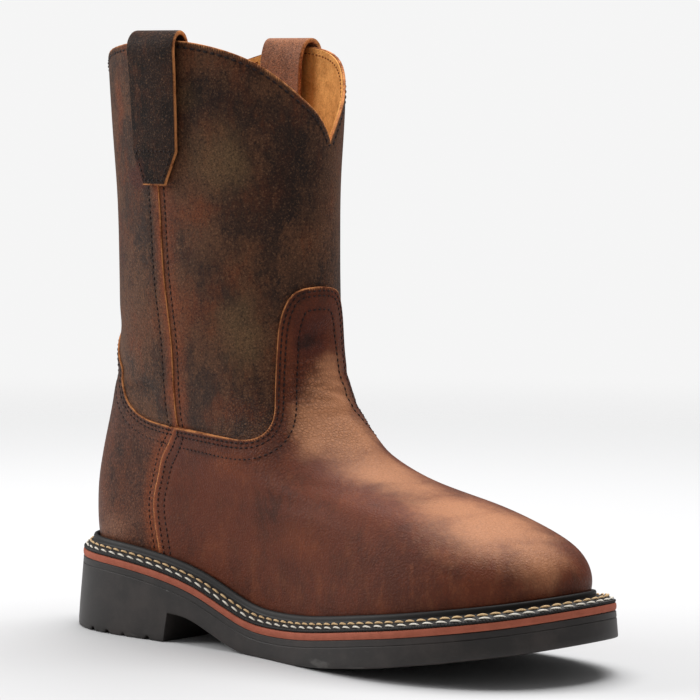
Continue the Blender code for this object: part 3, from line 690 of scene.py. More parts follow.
# Pale spots: along the instep ridge and over the toe they are a painted highlight, on the sides and the heel
# they are dust.
DUST_AND_HIGHLIGHT_SPOTS = [
    Spot(146.0, 2.0, 128.0, 18.0, 1.00, 0.80),
    Spot(158.0, -6.0, 108.0, 30.0, 0.80, 1.10),
    Spot(150.0, 0.0, 118.0, 26.0, 0.70, 0.90),
    Spot(166.0, 0.0, 103.0, 34.0, 0.70, 0.90),
    Spot(188.0, 0.0, 92.0, 36.0, 0.70, 0.80),
    Spot(212.0, -2.0, 86.0, 36.0, 0.60, 0.65),
    Spot(236.0, -6.0, 76.0, 36.0, 0.70, 0.75),
    Spot(260.0, -8.0, 67.0, 42.0, 0.80, 0.85),
    Spot(284.0, -8.0, 56.0, 28.0, 0.80, 0.60),
    Spot(128.0, -40.0, 150.0, 26.0, 1.20, 0.60),
    Spot(118.0, -42.0, 235.0, 24.0, 1.20, 0.55),
    Spot(100.0, -44.0, 262.0, 16.0, 0.80, 0.45),
    Spot(34.0, -34.0, 52.0, 26.0, 0.60, 0.60),
]
RED = [
    Spot(40.0, -42.0, 190.0, 24.0, 1.80, 0.60),
    Spot(40.0, -42.0, 160.0, 22.0, 1.20, 0.60),
    Spot(152.0, -8.0, 150.0, 22.0, 1.00, 0.80),
    Spot(68.0, -44.0, 226.0, 15.0, 0.70, 1.10),
    Spot(86.0, -44.0, 90.0, 18.0, 1.20, 0.50),
    Spot(100.0, 40.0, 170.0, 34.0, 1.60, 0.50),
]


def spots(finish, table, where):
    """A mask from soft spots, the strongest of them at each place."""
    total = None
    for spot in table:
        centre = tuple((value - shift) * MM for value, shift in zip(spot[:3], (ORIGIN_STATION, 0.0, 0.0)))
        shifted = finish.vector("SUBTRACT", where, centre)
        sizes = (1.0 / (spot.reach * MM), 1.0 / (spot.reach * MM), 1.0 / (spot.reach * spot.flat * MM))
        far = finish.vector("LENGTH", finish.vector("MULTIPLY", shifted, sizes))
        mask = (1.0 - far).ramp(0.0, 0.9) * spot.strength
        total = mask if total is None else total.at_least(mask)
    return total


# %% Leather, with its cut edge and its stitch lines
CUT_EDGE = srgb(218, 144, 88)
CUT_EDGE_DARK = srgb(120, 64, 40)
WORN_EDGE = srgb(150, 76, 40)
PEBBLE_HIGHLIGHT = srgb(150, 112, 82)
DEEP_RED = srgb(84, 36, 26)
OIL_AND_SHADE_BLACK = srgb(27, 19, 17)


def leather(name, base, dark, rubbed, dust_and_highlight, pebble, cloud=1.0, gloss=0.17, speck_shade_and_highlight=1.0):
    """Oiled leather in the colours given. Pebble is the grain's size; cloud and speck_shade_and_highlight are
    strengths, the last of dark specks, of painted shade in the grain's valleys and of painted highlight on
    its pebbles.
    """
    finish = Finish(name)
    warped = finish.warped_spot(22.0, 11.0)
    clouds = finish.noise(30.0, 7.0, 0.68, 3.1, (1.0, 1.0, 0.7))
    small_clouds = finish.noise(8.0, 6.0, 0.72, 9.4, (1.0, 1.0, 0.6))
    other_clouds = finish.noise(17.0, 7.0, 0.74, 5.0, (1.0, 1.0, 0.5))
    streaks = finish.noise(3.0, 5.0, 0.72, 4.4, (1.0, 1.0, 0.3))
    speckle = finish.noise(1.2, 5.0, 0.8, 1.7)
    pebbles = finish.pebbles(pebble, 0.8)
    wrinkled = spots(finish, WRINKLED, warped).at_most(1.0)
    uneven = (small_clouds - 0.5) * 1.2 + (streaks - 0.5) * 1.1 + (speckle - 0.5) * 0.8
    colour = finish.wire(base).tint(dark, (clouds + uneven * 0.35).ramp(0.43, 0.6) * 0.8 * cloud)
    colour = colour.tint(rubbed, (other_clouds + uneven * 0.35).ramp(0.47, 0.7) * 0.6 * cloud)
    # Pale spots: a painted highlight along the instep and over the toe, and dust on the sides and heel.
    colour = colour.tint(dust_and_highlight, (spots(finish, DUST_AND_HIGHLIGHT_SPOTS, warped) + uneven * 0.35).ramp(-0.05, 0.85) * 0.95)
    colour = colour.tint(DEEP_RED, (spots(finish, RED, warped) + uneven * 0.45).ramp(0.05, 0.85) * 0.8)
    colour = colour.tint(rubbed, (spots(finish, RUBBED, warped) + uneven * 0.6).ramp(0.05, 0.9) * 0.85)
    # Near black spots: oil, and painted shade in the folds and along the low sides.
    colour = colour.tint(OIL_AND_SHADE_BLACK, (spots(finish, OIL_AND_SHADE_SPOTS, warped) + uneven * 0.6).ramp(0.1, 0.95) * 0.75)
    raw = finish.attribute("raw")
    sewn = finish.attribute("sewn")
    worn = finish.attribute("worn")
    colour = colour.tint(WORN_EDGE, (worn * (0.9 + uneven * 0.9)).at_least(0.0).at_most(1.0))
    # Painted shade in the valleys between the pebbles, deeper where wrinkled, then dark specks, then a
    # painted highlight on the pebbles' tops.
    valleys = (1.0 - pebbles) * (wrinkled * 0.4 + 0.3 * speck_shade_and_highlight)
    colour = colour.tint(OIL_AND_SHADE_BLACK, valleys + speckle.ramp(0.5, 0.62) * (0.25 + 0.3 * cloud) * speck_shade_and_highlight)
    colour = colour.tint(PEBBLE_HIGHLIGHT, (1.0 - speckle).ramp(0.5, 0.64) * pebbles * (0.12 + 0.28 * cloud) * speck_shade_and_highlight)
    # Darker stitch dents: partly the stitch holes' own dark, partly painted shade in the dent.
    colour = colour.tint(OIL_AND_SHADE_BLACK, sewn * 0.35)
    edge_colour = finish.wire(CUT_EDGE).tint(CUT_EDGE_DARK, (small_clouds + speckle * 0.5).ramp(0.66, 0.92))
    colour = colour.tint(edge_colour, raw)
    grain = finish.noise(1.0, 4.0, 0.7, 2.0)
    wrinkles = finish.noise(2.6, 5.0, 0.65, 6.6, (1.0, 1.0, 1.6))
    skin = finish.bump(grain, 0.35, 0.75)
    skin = finish.bump(pebbles * (0.35 + wrinkled), 0.3, 0.75, skin)
    skin = finish.bump(wrinkles * (0.6 + wrinkled * 1.6), 0.55, 0.6, skin)
    finish.set("Base Color", colour)
    finish.set("Roughness", 0.5 + (small_clouds - 0.5) * 0.24 + raw * 0.35 + (speckle - 0.5) * 0.3)
    finish.set("Normal", skin)
    finish.set("Specular IOR Level", gloss)
    return finish.material


# %% The five leathers
SHAFT_LEATHER = leather(
    "shaft_leather", base=srgb(104, 68, 46), dark=srgb(44, 30, 26), rubbed=srgb(128, 66, 35),
    dust_and_highlight=srgb(128, 98, 66), pebble=1.3,
)
# The vamp's pale colour is mostly the painted highlight of its instep and toe.
VAMP_LEATHER = leather(
    "vamp_leather", base=srgb(104, 50, 30), dark=srgb(62, 31, 22), rubbed=srgb(138, 70, 38),
    dust_and_highlight=srgb(192, 132, 94), cloud=0.6, pebble=1.8, speck_shade_and_highlight=0.35,
)
COUNTER_LEATHER = leather(
    "counter_leather", base=srgb(102, 58, 39), dark=srgb(56, 36, 28), rubbed=srgb(126, 66, 36),
    dust_and_highlight=srgb(142, 98, 76), cloud=0.9, pebble=1.7,
)
STRAP_LEATHER = leather(
    "strap_leather", base=srgb(50, 32, 24), dark=srgb(18, 13, 11), rubbed=srgb(98, 56, 37),
    dust_and_highlight=srgb(96, 68, 50), cloud=1.2, pebble=1.2, gloss=0.1,
)
INNER_STRAP_LEATHER = leather(
    "inner_strap_leather", base=srgb(164, 106, 74), dark=srgb(112, 68, 46), rubbed=srgb(172, 100, 60),
    dust_and_highlight=srgb(196, 146, 108), cloud=0.9, pebble=1.2,
)
print("leathers", [finish.name for finish in bpy.data.materials if finish.name.endswith("leather")])

# %% [markdown]
# ## Other finishes
#
# The lining is suede, so it is rough all over with a short nap. The sole is black rubber with a soft
# shine, and the midsole a matt terracotta layer. Threads are waxed: a darker one on the upper and two
# pale ones on the welt.

# %% Suede, midsole, welt and thread
Plain = namedtuple("Plain", "colour second amount rough speck depth gloss")
PLAIN_FINISHES = {
    "suede_lining": Plain(srgb(232, 170, 100), srgb(170, 112, 58), 0.9, 0.95, 1.1, 0.6, 0.1),
    "terracotta_layer": Plain(srgb(172, 96, 74), srgb(138, 72, 54), 0.6, 0.75, 0.6, 0.08, 0.2),
    "welt_black": Plain(srgb(24, 21, 20), srgb(36, 31, 29), 0.5, 0.55, 0.6, 0.05, 0.3),
    "upper_thread": Plain(srgb(24, 12, 10), srgb(60, 30, 24), 0.5, 0.55, 0.3, 0.05, 0.25),
    "lining_thread": Plain(srgb(120, 70, 34), srgb(150, 96, 50), 0.5, 0.8, 0.3, 0.05, 0.1),
    "tan_thread": Plain(srgb(226, 194, 148), srgb(170, 128, 84), 0.6, 0.7, 0.3, 0.05, 0.2),
    "white_thread": Plain(srgb(236, 230, 218), srgb(190, 178, 158), 0.5, 0.7, 0.3, 0.05, 0.2),
    "footbed_leather": Plain(srgb(176, 124, 74), srgb(148, 98, 56), 0.6, 0.85, 0.8, 0.1, 0.4),
}


def plain_finish(name, look):
    """A single colour with a second one mottled in, and a fine texture."""
    finish = Finish(name)
    mottle = finish.noise(look.speck * 8.0, 4.0, 0.6, 2.2)
    fine = finish.noise(look.speck, 3.0, 0.6, 7.7)
    mixed = mottle.ramp(0.35, 0.7) * 0.6 + fine.ramp(0.4, 0.7) * 0.4
    finish.set("Base Color", finish.wire(look.colour).tint(look.second, mixed * look.amount))
    finish.set("Roughness", look.rough + (mottle - 0.5) * 0.15)
    finish.set("Normal", finish.bump(fine, look.depth, 0.6))
    finish.set("Specular IOR Level", look.gloss)
    return finish.material


plain = {name: plain_finish(name, look) for name, look in PLAIN_FINISHES.items()}
print("plain finishes", sorted(plain))

# %% [markdown]
# ## Sole rubber
#
# Moulded rubber leaves the mould black and even, and then gathers dust in clouds and pale scuffs where
# its lower rim meets stones. The scuffs are listed spots, frayed by fine upright streaks.

# %% Sole rubber with its scuffs
SCUFFED = [
    Spot(196.0, -56.0, 4.0, 16.0, 0.18, 0.9),
    Spot(222.0, -57.0, 5.0, 14.0, 0.18, 0.7),
    Spot(262.0, -50.0, 8.0, 20.0, 0.15, 0.5),
    Spot(60.0, -44.0, 1.5, 14.0, 0.12, 0.5),
    Spot(20.0, -40.0, 1.5, 14.0, 0.12, 0.5),
]


def sole_rubber():
    """Black moulded rubber with dust in patches, scuffed pale along its lower rim."""
    finish = Finish("sole_rubber")
    clouds = finish.noise(24.0, 5.0, 0.65, 2.2)
    streaks = finish.noise(1.4, 4.0, 0.7, 5.1, (0.25, 0.25, 1.0))
    fine = finish.noise(0.6, 3.0, 0.6, 7.7)
    rubbed = (spots(finish, SCUFFED, finish.warped_spot(4.0, 2.0)) + (streaks - 0.5) * 1.2).ramp(0.3, 0.9)
    shade = finish.wire(srgb(35, 31, 29)).tint(srgb(64, 56, 53), clouds.ramp(0.4, 0.7) * 0.6)
    shade = shade.tint(srgb(60, 56, 53), streaks.ramp(0.55, 0.75) * 0.35)
    finish.set("Base Color", shade.tint(srgb(96, 93, 90), rubbed * 0.55))
    finish.set("Roughness", 0.5 + (clouds - 0.5) * 0.3 + rubbed * 0.2)
    finish.set("Normal", finish.bump(fine, 0.04, 0.6))
    finish.set("Specular IOR Level", 0.4)
    return finish.material


SOLE_RUBBER = sole_rubber()
print("scuffs on the rubber", len(SCUFFED))

# %% [markdown]
# ## Meshes
#
# Every piece goes through one helper. It takes points in millimetres and faces, closes nothing by itself,
# gives the piece its finish, hangs it under the frame's root and hides the solid that it stands for.

# %% Making a piece
def add_piece(name, points, faces, finish, node, masks=None, crease_angle=50.0):
    """A mesh object in the frame, standing for a solid."""
    mesh = bpy.data.meshes.new(name)
    metres = (np.asarray(points, float) - [ORIGIN_STATION, 0.0, 0.0]) * MM
    mesh.from_pydata(metres.tolist(), [], faces)
    for key, values in (masks or {}).items():
        layer = mesh.attributes.new(key, "FLOAT", "POINT")
        layer.data.foreach_set("value", np.asarray(values, float))
    mesh.materials.append(finish)
    shell = bmesh.new()
    shell.from_mesh(mesh)
    bmesh.ops.recalc_face_normals(shell, faces=shell.faces)
    shell.to_mesh(mesh)
    shell.free()
    mesh.shade_smooth()
    mesh.set_sharp_from_angle(angle=math.radians(crease_angle))
    piece = bpy.data.objects.new(name, mesh)
    bpy.context.scene.collection.objects.link(piece)
    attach(piece, "root")
    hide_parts(node)
    print(f"{name}: {len(mesh.polygons)} faces")
    return piece


def side_faces(row_count, column_count, ring):
    """Quads between rows of a closed loop. A ring also joins its last row to its first."""
    faces = []
    for row in range(row_count if ring else row_count - 1):
        lower = row * column_count
        upper = (row + 1) % row_count * column_count
        for column in range(column_count):
            after = (column + 1) % column_count
            faces.append((lower + column, lower + after, upper + after, upper + column))
    return faces


def cap_faces(start, column_count):
    """A cap of strips from side to side, for a loop that begins at the heel."""
    faces = []
    for column in range(column_count // 2):
        corners = [column, column + 1, column_count - column - 1, (column_count - column) % column_count]
        faces.append(tuple(dict.fromkeys(start + corner for corner in corners)))
    return faces


# %% [markdown]
# ## Sole
#
# The outsole is one moulded block. Its side is a stack of rows that follow the outline, leaning out a
# little towards the floor, with a rounded lower rim and a moulded groove. The notches of the heel are cut
# into its lowest rows.

# %% Sizes of the outsole
SIDE_FLARE = 2.6
FLARED_HEIGHT = 30.0
NOTCH_STATIONS = (31.0, 42.5, 54.5, 71.0)
NOTCH_WIDTH = 2.8
NOTCH_DEPTH = 2.0
NOTCH_SLOPE = 0.3
GROOVE_DROP = 3.3
GROOVE_DEPTH = 0.3
GROOVE_WIDTH = 0.7
FINE_COLUMNS = 200
TREAD_PITCH = 11.0
TREAD_WIDTH = 3.0
TREAD_DEPTH = 1.6
TREAD_MARGIN = 7.0
TREAD_FADE = 1.2
TREAD_ROUNDING = 0.5
TREAD_SLANT = 0.35
BALL_TREAD = (152.0, 290.0, 2.0)
HEEL_TREAD = (9.5, 69.5, 1.5)
ACROSS = 26
BREAST_MARGIN = 0.4
LOWER_RIM = ((1.0, 0.0), (0.45, 0.12), (0.12, 0.45), (0.0, 1.0), (0.0, 3.2))
SIDE_SHARES = (0.7, 0.5)
GROOVE_SHAPE = ((2.6, 0.0), (1.0, 0.0), (0.0, GROOVE_DEPTH), (-1.0, 0.0), (-2.6, 0.0))
UPPER_RIM = 0.5


def sole_turns(extra_stations=()):
    """Turns around the sole, evenly spaced, with more at the stations asked for."""
    side = list(np.linspace(0.0, 1.0, FINE_COLUMNS + 1))
    for station in extra_stations:
        side.append(math.acos(1.0 - 2.0 * station / LENGTH) / math.pi)
    side.sort()
    return np.array(side + [2.0 - turn for turn in reversed(side[1:-1])])


def notch_depth(x):
    """How deep the heel's notches are at a station."""
    depth = np.zeros(np.shape(x))
    for station in NOTCH_STATIONS:
        inside = NOTCH_WIDTH / 2.0 - np.abs(np.asarray(x) - station)
        depth = np.maximum(depth, NOTCH_DEPTH * np.clip(inside / NOTCH_SLOPE + 0.5, 0.0, 1.0))
    return depth


# %% Side and underside of the outsole
def flared_row(turn, drop_share, inset=0.0):
    """A row of the outsole's side, at a share of the way from its top to its bottom."""
    top_x, top_y = plan(turn, inset)
    low_x, low_y = plan(turn, inset - SIDE_FLARE)
    drop = (outsole_top(top_x) - outsole_bottom(top_x)) * drop_share
    lean = np.clip(drop / FLARED_HEIGHT, 0.0, 1.0)
    x = top_x + (low_x - top_x) * lean
    y = top_y + (low_y - top_y) * lean
    return np.column_stack([x, y, outsole_top(top_x) - drop])


def between_stations(x, start, end, blend):
    """1 between two stations and 0 outside them, with a soft step of twice the blend at each."""
    return smooth(start - blend, start + blend, x) * (1.0 - smooth(end - blend, end + blend, x))


def tread(x, y, edge_gap):
    """How deep the fine tread is cut at a place under the sole."""
    bar = np.abs(np.mod(x + TREAD_SLANT * np.abs(y), TREAD_PITCH) - TREAD_PITCH / 2.0)
    cut = 1.0 - smooth(TREAD_WIDTH / 2.0 - TREAD_ROUNDING, TREAD_WIDTH / 2.0 + TREAD_ROUNDING, bar)
    covered = np.maximum(between_stations(x, *BALL_TREAD), between_stations(x, *HEEL_TREAD))
    return TREAD_DEPTH * cut * covered * smooth(TREAD_MARGIN, TREAD_MARGIN + TREAD_FADE, edge_gap)


def outsole_side(turn):
    """The rows of the block's side, from its rounded lower rim up to its top."""
    top_x, _ = plan(turn, 0.0)
    depth = outsole_top(top_x) - outsole_bottom(top_x)
    rows = []
    for inset, rise in LOWER_RIM:
        row = flared_row(turn, 1.0 - rise / depth, inset)
        row[:, 2] += notch_depth(row[:, 0]) * (1.0 - rise / LOWER_RIM[-1][1])
        rows.append(row)
    rows += [flared_row(turn, share) for share in SIDE_SHARES]
    for reach, cut in GROOVE_SHAPE:
        rows.append(flared_row(turn, (GROOVE_DROP + GROOVE_WIDTH / 2.0 * reach) / depth, cut))
    rows.append(flared_row(turn, UPPER_RIM / depth))
    rows.append(flared_row(turn, 0.0, UPPER_RIM))
    return rows


def tread_lines(rim):
    """Lines of points across the underside, from the rim's outer half to its inner one."""
    share = np.linspace(0.0, 1.0, ACROSS + 1)[1:-1]
    lines = []
    for column in range(1, len(rim) // 2):
        outer, inner = rim[column], rim[-column]
        line = outer + (inner - outer) * share[:, None]
        edge_gap = np.minimum(share, 1.0 - share) * abs(inner[1] - outer[1])
        line[:, 2] += tread(line[:, 0], line[:, 1], edge_gap)
        lines.append(line)
    return lines


def underside_faces(count, start):
    """Faces under the sole. The rim's points come first, and the lines across begin at start."""
    half = count // 2
    middle_count = ACROSS - 1

    def strip(column):
        """Point numbers across the bottom at a column, from the outer edge to the inner one."""
        if column in (0, half):
            return [column]
        middle = list(range(start + (column - 1) * middle_count, start + column * middle_count))
        return [column] + middle + [count - column]

    faces = []
    for column in range(half):
        near, far = strip(column), strip(column + 1)
        if len(near) == 1:
            faces += [(near[0], far[i], far[i + 1]) for i in range(ACROSS)]
        elif len(far) == 1:
            faces += [(near[i], far[0], near[i + 1]) for i in range(ACROSS)]
        else:
            faces += [(near[i], far[i], far[i + 1], near[i + 1]) for i in range(ACROSS)]
    return faces


# %% Outsole
def make_outsole():
    """The block with its flared side, its heel notches and its tread."""
    extra = [BREAST, BREAST + BREAST_SLOPE, BREAST - BREAST_MARGIN, BREAST + BREAST_SLOPE + BREAST_MARGIN]
    for station in NOTCH_STATIONS:
        for side in (-1.0, 1.0):
            for slope in (-0.5, 0.5):
                extra.append(station + side * (NOTCH_WIDTH / 2.0 + slope * NOTCH_SLOPE))
    turn = sole_turns(extra)
    rows = outsole_side(turn)
    count = len(turn)
    start = len(rows) * count
    faces = side_faces(len(rows), count, ring=False)
    faces += cap_faces(start - count, count)
    faces += underside_faces(count, start)
    points = np.vstack(rows + tread_lines(rows[0]))
    return add_piece(
        "moulded_outsole", points, faces, SOLE_RUBBER, "outsole", crease_angle=35.0
    )


make_outsole()

# %% [markdown]
# ## Midsole and welt
#
# The terracotta midsole is a thin layer whose edge bulges a little. The welt is the strip that carries
# the seams: it slopes gently outwards on top, a wheel has ribbed its outer edge, and a round storm rib
# stands where it meets the leather. The ribs are real geometry, because the light catches each one.

# %% Midsole
MIDSOLE_EDGE = (
    (0.6, -3.5), (0.1, -3.3), (-0.15, -2.5), (-0.2, -1.7), (-0.1, -0.8), (0.1, -0.2), (0.6, 0.0),
)


def make_midsole():
    """The terracotta layer. Each row of its edge has an inset from the outline and a rise from the seat."""
    turn = sole_turns()
    rows = []
    for inset, rise in MIDSOLE_EDGE:
        x, y = plan(turn, inset)
        rows.append(np.column_stack([x, y, seat(x) + rise]))
    count = len(turn)
    faces = side_faces(len(rows), count, ring=False)
    faces += cap_faces(0, count) + cap_faces((len(rows) - 1) * count, count)
    finish = plain["terracotta_layer"]
    return add_piece("terracotta_midsole", np.vstack(rows), faces, finish, "midsole")


make_midsole()

# %% Sizes of the welt, with its wheeled edge and storm rib
RIB_PITCH = 1.6
RIB_DEPTH = 0.45
RIB_SLANT = 0.9
RIB_INSET_SLANT = 0.6
RIB_ROUNDING = 0.7
RIB_FADE = (0.8, 1.8)
WELT_COLUMNS = 1100
WELT_CREST = 1.3
WELT_TOP = 1.75
WELT_SLOPE = 0.75
WELT_EDGE = ((0.8, 0.3), (0.2, 0.35), (0.1, 0.6), (0.1, 0.95), (0.2, 1.3), (0.7, 1.6), (WELT_CREST, WELT_TOP))
WELT_LEDGE = (2.6, 3.8)
STORM_RIB = (
    (3.5, 3.9), (3.15, 4.3), (2.9, 5.0), (2.65, 6.0), (2.1, 6.8),
    (1.3, 7.1), (0.7, 6.8), (0.4, 6.0), (0.4, 0.3),
)
FEATHER_RISE = 2.4


# %% Welt
def beside_upper(turn, outward, rise):
    """A row that keeps outward of the vamp's face, at a height above the seat."""
    feather_x, _ = plan(turn, FEATHER_INSET)
    level = level_at(turn, seat(feather_x) + max(rise, FEATHER_RISE))
    row = form(turn, level) + form_normal(turn, level) * (FACE_VAMP + outward)
    row[:, 2] = seat(row[:, 0]) + rise
    return row


def welt_rise(inset):
    """Height of the welt's sloping top above the seat, at an inset from the sole's outline."""
    return WELT_TOP + WELT_SLOPE * (inset - WELT_CREST)


def turns_around(count):
    """Even turns all round the boot, with count steps on each side."""
    side = np.linspace(0.0, 1.0, count + 1)
    return np.concatenate([side, 2.0 - side[-2:0:-1]])


def wheeled_row(turn, along, inset, rise):
    """A row of the welt's edge, pressed in or down between the ribs that the wheel leaves."""
    wave = np.cos(2.0 * np.pi * (along + rise * RIB_SLANT - inset * RIB_INSET_SLANT) / RIB_PITCH)
    pressed = RIB_DEPTH * (1.0 - smooth(*RIB_FADE, inset)) * (0.5 - 0.5 * wave)
    x, y = plan(turn, inset)
    if inset >= RIB_ROUNDING:
        return np.column_stack([x, y, seat(x) + rise - pressed])
    inner_x, inner_y = plan(turn, inset + 1.0)
    x, y = x + (inner_x - x) * pressed, y + (inner_y - y) * pressed
    return np.column_stack([x, y, seat(x) + rise])


def make_welt():
    """The strip with its ribbed edge, its sloping ledge for the seams and its round storm rib."""
    turn = turns_around(WELT_COLUMNS)
    along = arc_lengths(np.column_stack(plan(turn, 0.0)))
    rows = [wheeled_row(turn, along, inset, rise) for inset, rise in WELT_EDGE]
    for inset in WELT_LEDGE:
        x, y = plan(turn, inset)
        rows.append(np.column_stack([x, y, seat(x) + welt_rise(inset)]))
    rows += [beside_upper(turn, outward, rise) for outward, rise in STORM_RIB]
    faces = side_faces(len(rows), len(turn), ring=True)
    finish = plain["welt_black"]
    return add_piece("storm_welt", np.vstack(rows), faces, finish, "welt", crease_angle=60.0)


make_welt()

# %% [markdown]
# ## Stitches
#
# A stitch is a short arched bead of thread that dives into the leather at both ends. One template bead is
# copied along a line, with the line's own direction and the leather's outward direction to set it up.

# %% Beads of thread along a line
Bead = namedtuple("Bead", "pitch length width height slant", defaults=(0.0,))
BEAD_RINGS = 7
BEAD_SPOKES = 6
BEAD_TIP = 0.12
BEAD_SINK = 0.35
BEAD_FULLNESS = 0.75
AHEAD = 0.4


def at_places(along, columns, places):
    """A table of columns read at distances along it."""
    return np.column_stack([np.interp(places, along, column) for column in columns.T])


def bead_offsets(bead):
    """How far ahead, outwards and sideways each point of one bead lies from its middle, ring by ring."""
    share = np.linspace(-1.0, 1.0, BEAD_RINGS)
    swell = 1.0 - share**2
    thick = np.sqrt(np.clip(swell, 0.0, 1.0)) * BEAD_FULLNESS + (1.0 - BEAD_FULLNESS) * swell
    arch = bead.height * swell - bead.width * BEAD_SINK
    radius = np.maximum(thick, BEAD_TIP) * bead.width / 2.0
    angle = np.linspace(0.0, 2.0 * np.pi, BEAD_SPOKES, endpoint=False)
    ahead = np.repeat(share * bead.length / 2.0, BEAD_SPOKES)
    outward = (arch[:, None] + radius[:, None] * np.sin(angle)).ravel()
    sideways = (radius[:, None] * np.cos(angle)).ravel()
    return ahead, outward, sideways


def bead_row(places, outwards, bead):
    """Points and faces of beads set along a line of places, one for each pitch."""
    along = arc_lengths(places)
    count = max(1, int(along[-1] / bead.pitch))
    middles = (np.arange(count) + 0.5) * along[-1] / count
    centre = at_places(along, places, middles)
    ahead = unit(at_places(along, places, middles + AHEAD) - at_places(along, places, middles - AHEAD))
    out = unit(at_places(along, outwards, middles))
    side = unit(np.cross(ahead, out))
    out = np.cross(side, ahead)
    turned = unit(ahead + side * bead.slant)
    side = np.cross(turned, out)
    points = [
        centre + turned * forward + out * outward + side * sideways
        for forward, outward, sideways in zip(*bead_offsets(bead))
    ]
    size = BEAD_RINGS * BEAD_SPOKES
    one_bead = side_faces(BEAD_RINGS, BEAD_SPOKES, ring=False)
    one_bead.append(tuple(range(BEAD_SPOKES - 1, -1, -1)))
    one_bead.append(tuple(range(size - BEAD_SPOKES, size)))
    faces = [tuple(corner + number * size for corner in face) for number in range(count) for face in one_bead]
    return np.array(points).transpose(1, 0, 2).reshape(-1, 3), faces


def add_beads(name, rows, finish, node):
    """One piece from several rows of beads."""
    points, faces, start = [], [], 0
    for row_points, row_faces in rows:
        points.append(row_points)
        faces += [tuple(corner + start for corner in face) for face in row_faces]
        start += len(row_points)
    return add_piece(name, np.vstack(points), faces, finish, node, crease_angle=80.0)


# %% The two seams of the welt
WELT_SEAM_START = 0.02
WELT_SEAM_PLACES = 1600
WELT_SEAM_LIFT = 0.1
TAN_INSET = 3.7
TAN_BEAD = Bead(5.8, 5.7, 1.1, 0.7, 0.06)
WHITE_INSET = 1.75
WHITE_BEAD = Bead(6.7, 6.0, 1.0, 0.65, 0.12)


def welt_seam(inset):
    """A line on top of the welt at an inset, from one side of the heel round to the other."""
    turn = np.linspace(WELT_SEAM_START, 2.0 - WELT_SEAM_START, WELT_SEAM_PLACES)
    x, y = plan(turn, inset)
    places = np.column_stack([x, y, seat(x) + welt_rise(inset) + WELT_SEAM_LIFT])
    inner_x, inner_y = plan(turn, inset + 1.0)
    outwards = np.column_stack([(x - inner_x) * WELT_SLOPE, (y - inner_y) * WELT_SLOPE, np.ones(len(turn))])
    return places, unit(outwards)


tan_row = bead_row(*welt_seam(TAN_INSET), TAN_BEAD)
add_beads("welt_seam_tan", [tan_row], plain["tan_thread"], "welt")
white_row = bead_row(*welt_seam(WHITE_INSET), WHITE_BEAD)
add_beads("welt_seam_white", [white_row], plain["white_thread"], "welt")

# %% [markdown]
# ## Leather panels
#
# A panel is cut to an outline, and its cut edge is rounded and pale. The outline is drawn in turns and
# levels, and rings of points follow it at true distances, so the rounding and the dents of the stitch
# lines have somewhere to live. A Delaunay triangulation fills the middle.

# %% Lines on the leather
ONE_ROUND = (2.0, 0.0)


def evenly(line, spacing):
    """The same line of turns and levels with its points at even true distances."""
    along = arc_lengths(form(line[:, 0], line[:, 1]))
    places = np.linspace(0.0, along[-1], max(2, round(along[-1] / spacing) + 1))
    return np.column_stack([np.interp(places, along, line[:, 0]), np.interp(places, along, line[:, 1])])


def offset_line(line, distance):
    """A line moved over the leather to its right by a true distance."""
    turn, level = line.T
    points = form(turn, level)
    ahead = unit(np.gradient(points, axis=0))
    around, upward = form_steps(turn, level)
    normal = unit(np.cross(around, upward))
    move = np.cross(ahead, normal) * distance
    along_turn, along_level = (around * around).sum(1), (upward * upward).sum(1)
    skew = (around * upward).sum(1)
    move_turn, move_level = (move * around).sum(1), (move * upward).sum(1)
    scale = along_turn * along_level - skew * skew
    turn_step = (move_turn * along_level - move_level * skew) / scale
    level_step = (move_level * along_turn - move_turn * skew) / scale
    return line + np.column_stack([turn_step, level_step])


def tree_of(points):
    """Points arranged so that the nearest one is found fast."""
    tree = KDTree(len(points))
    for number, point in enumerate(points):
        tree.insert(point, number)
    tree.balance()
    return tree


def distances(tree, points):
    """Distance from each point to the nearest one in the tree."""
    return np.array([tree.find(point)[2] for point in points])


# %% Where a panel's points lie
SPAN = np.array([220.0, 19.0])
BORDER_STEP = 1.3
PANEL_STEP = 2.6
CREASE_STEP = 0.85
FINE_STEP = 0.4
ROW_STEP = 0.87
CLEAR_SHARE = 0.6
EDGE_RINGS = (0.18, 0.5, 1.1)
DENT_RINGS = (-0.8, 0.0, 0.8)
RING_SHARE = 0.93
RING_SLACK = 0.02
GUIDE_CLEAR = 1.0

Edge = namedtuple("Edge", "line cut rows worn", defaults=(0.0,))
Guide = namedtuple("Guide", "line stitched worn strength")
Creased = namedtuple("Creased", "first_turn last_turn first_level last_level")


def on_plane(pairs):
    """Pairs of numbers as points on a flat sheet."""
    return np.column_stack([pairs, np.zeros(len(pairs))])


def fine_tree(line):
    """A tree of the close points of a line on the leather."""
    return tree_of(form(*evenly(line, FINE_STEP).T))


def rings_inside(edges, guides, border_tree):
    """Rings of points beside the cut edges, on both sides of each stitch row, clear of the border."""
    rings = []
    for edge in edges:
        if not edge.cut:
            continue
        line = evenly(edge.line, BORDER_STEP)
        for distance in [*EDGE_RINGS, *(row + shift for row in edge.rows for shift in DENT_RINGS)]:
            ring = evenly(offset_line(line, distance), BORDER_STEP)
            rings.append(ring[distances(border_tree, form(*ring.T)) > distance * RING_SHARE - RING_SLACK])
    for guide in guides:
        for distance in DENT_RINGS:
            ring = evenly(offset_line(evenly(guide.line, BORDER_STEP), distance), BORDER_STEP)
            rings.append(ring[distances(border_tree, form(*ring.T)) > GUIDE_CLEAR])
    return rings


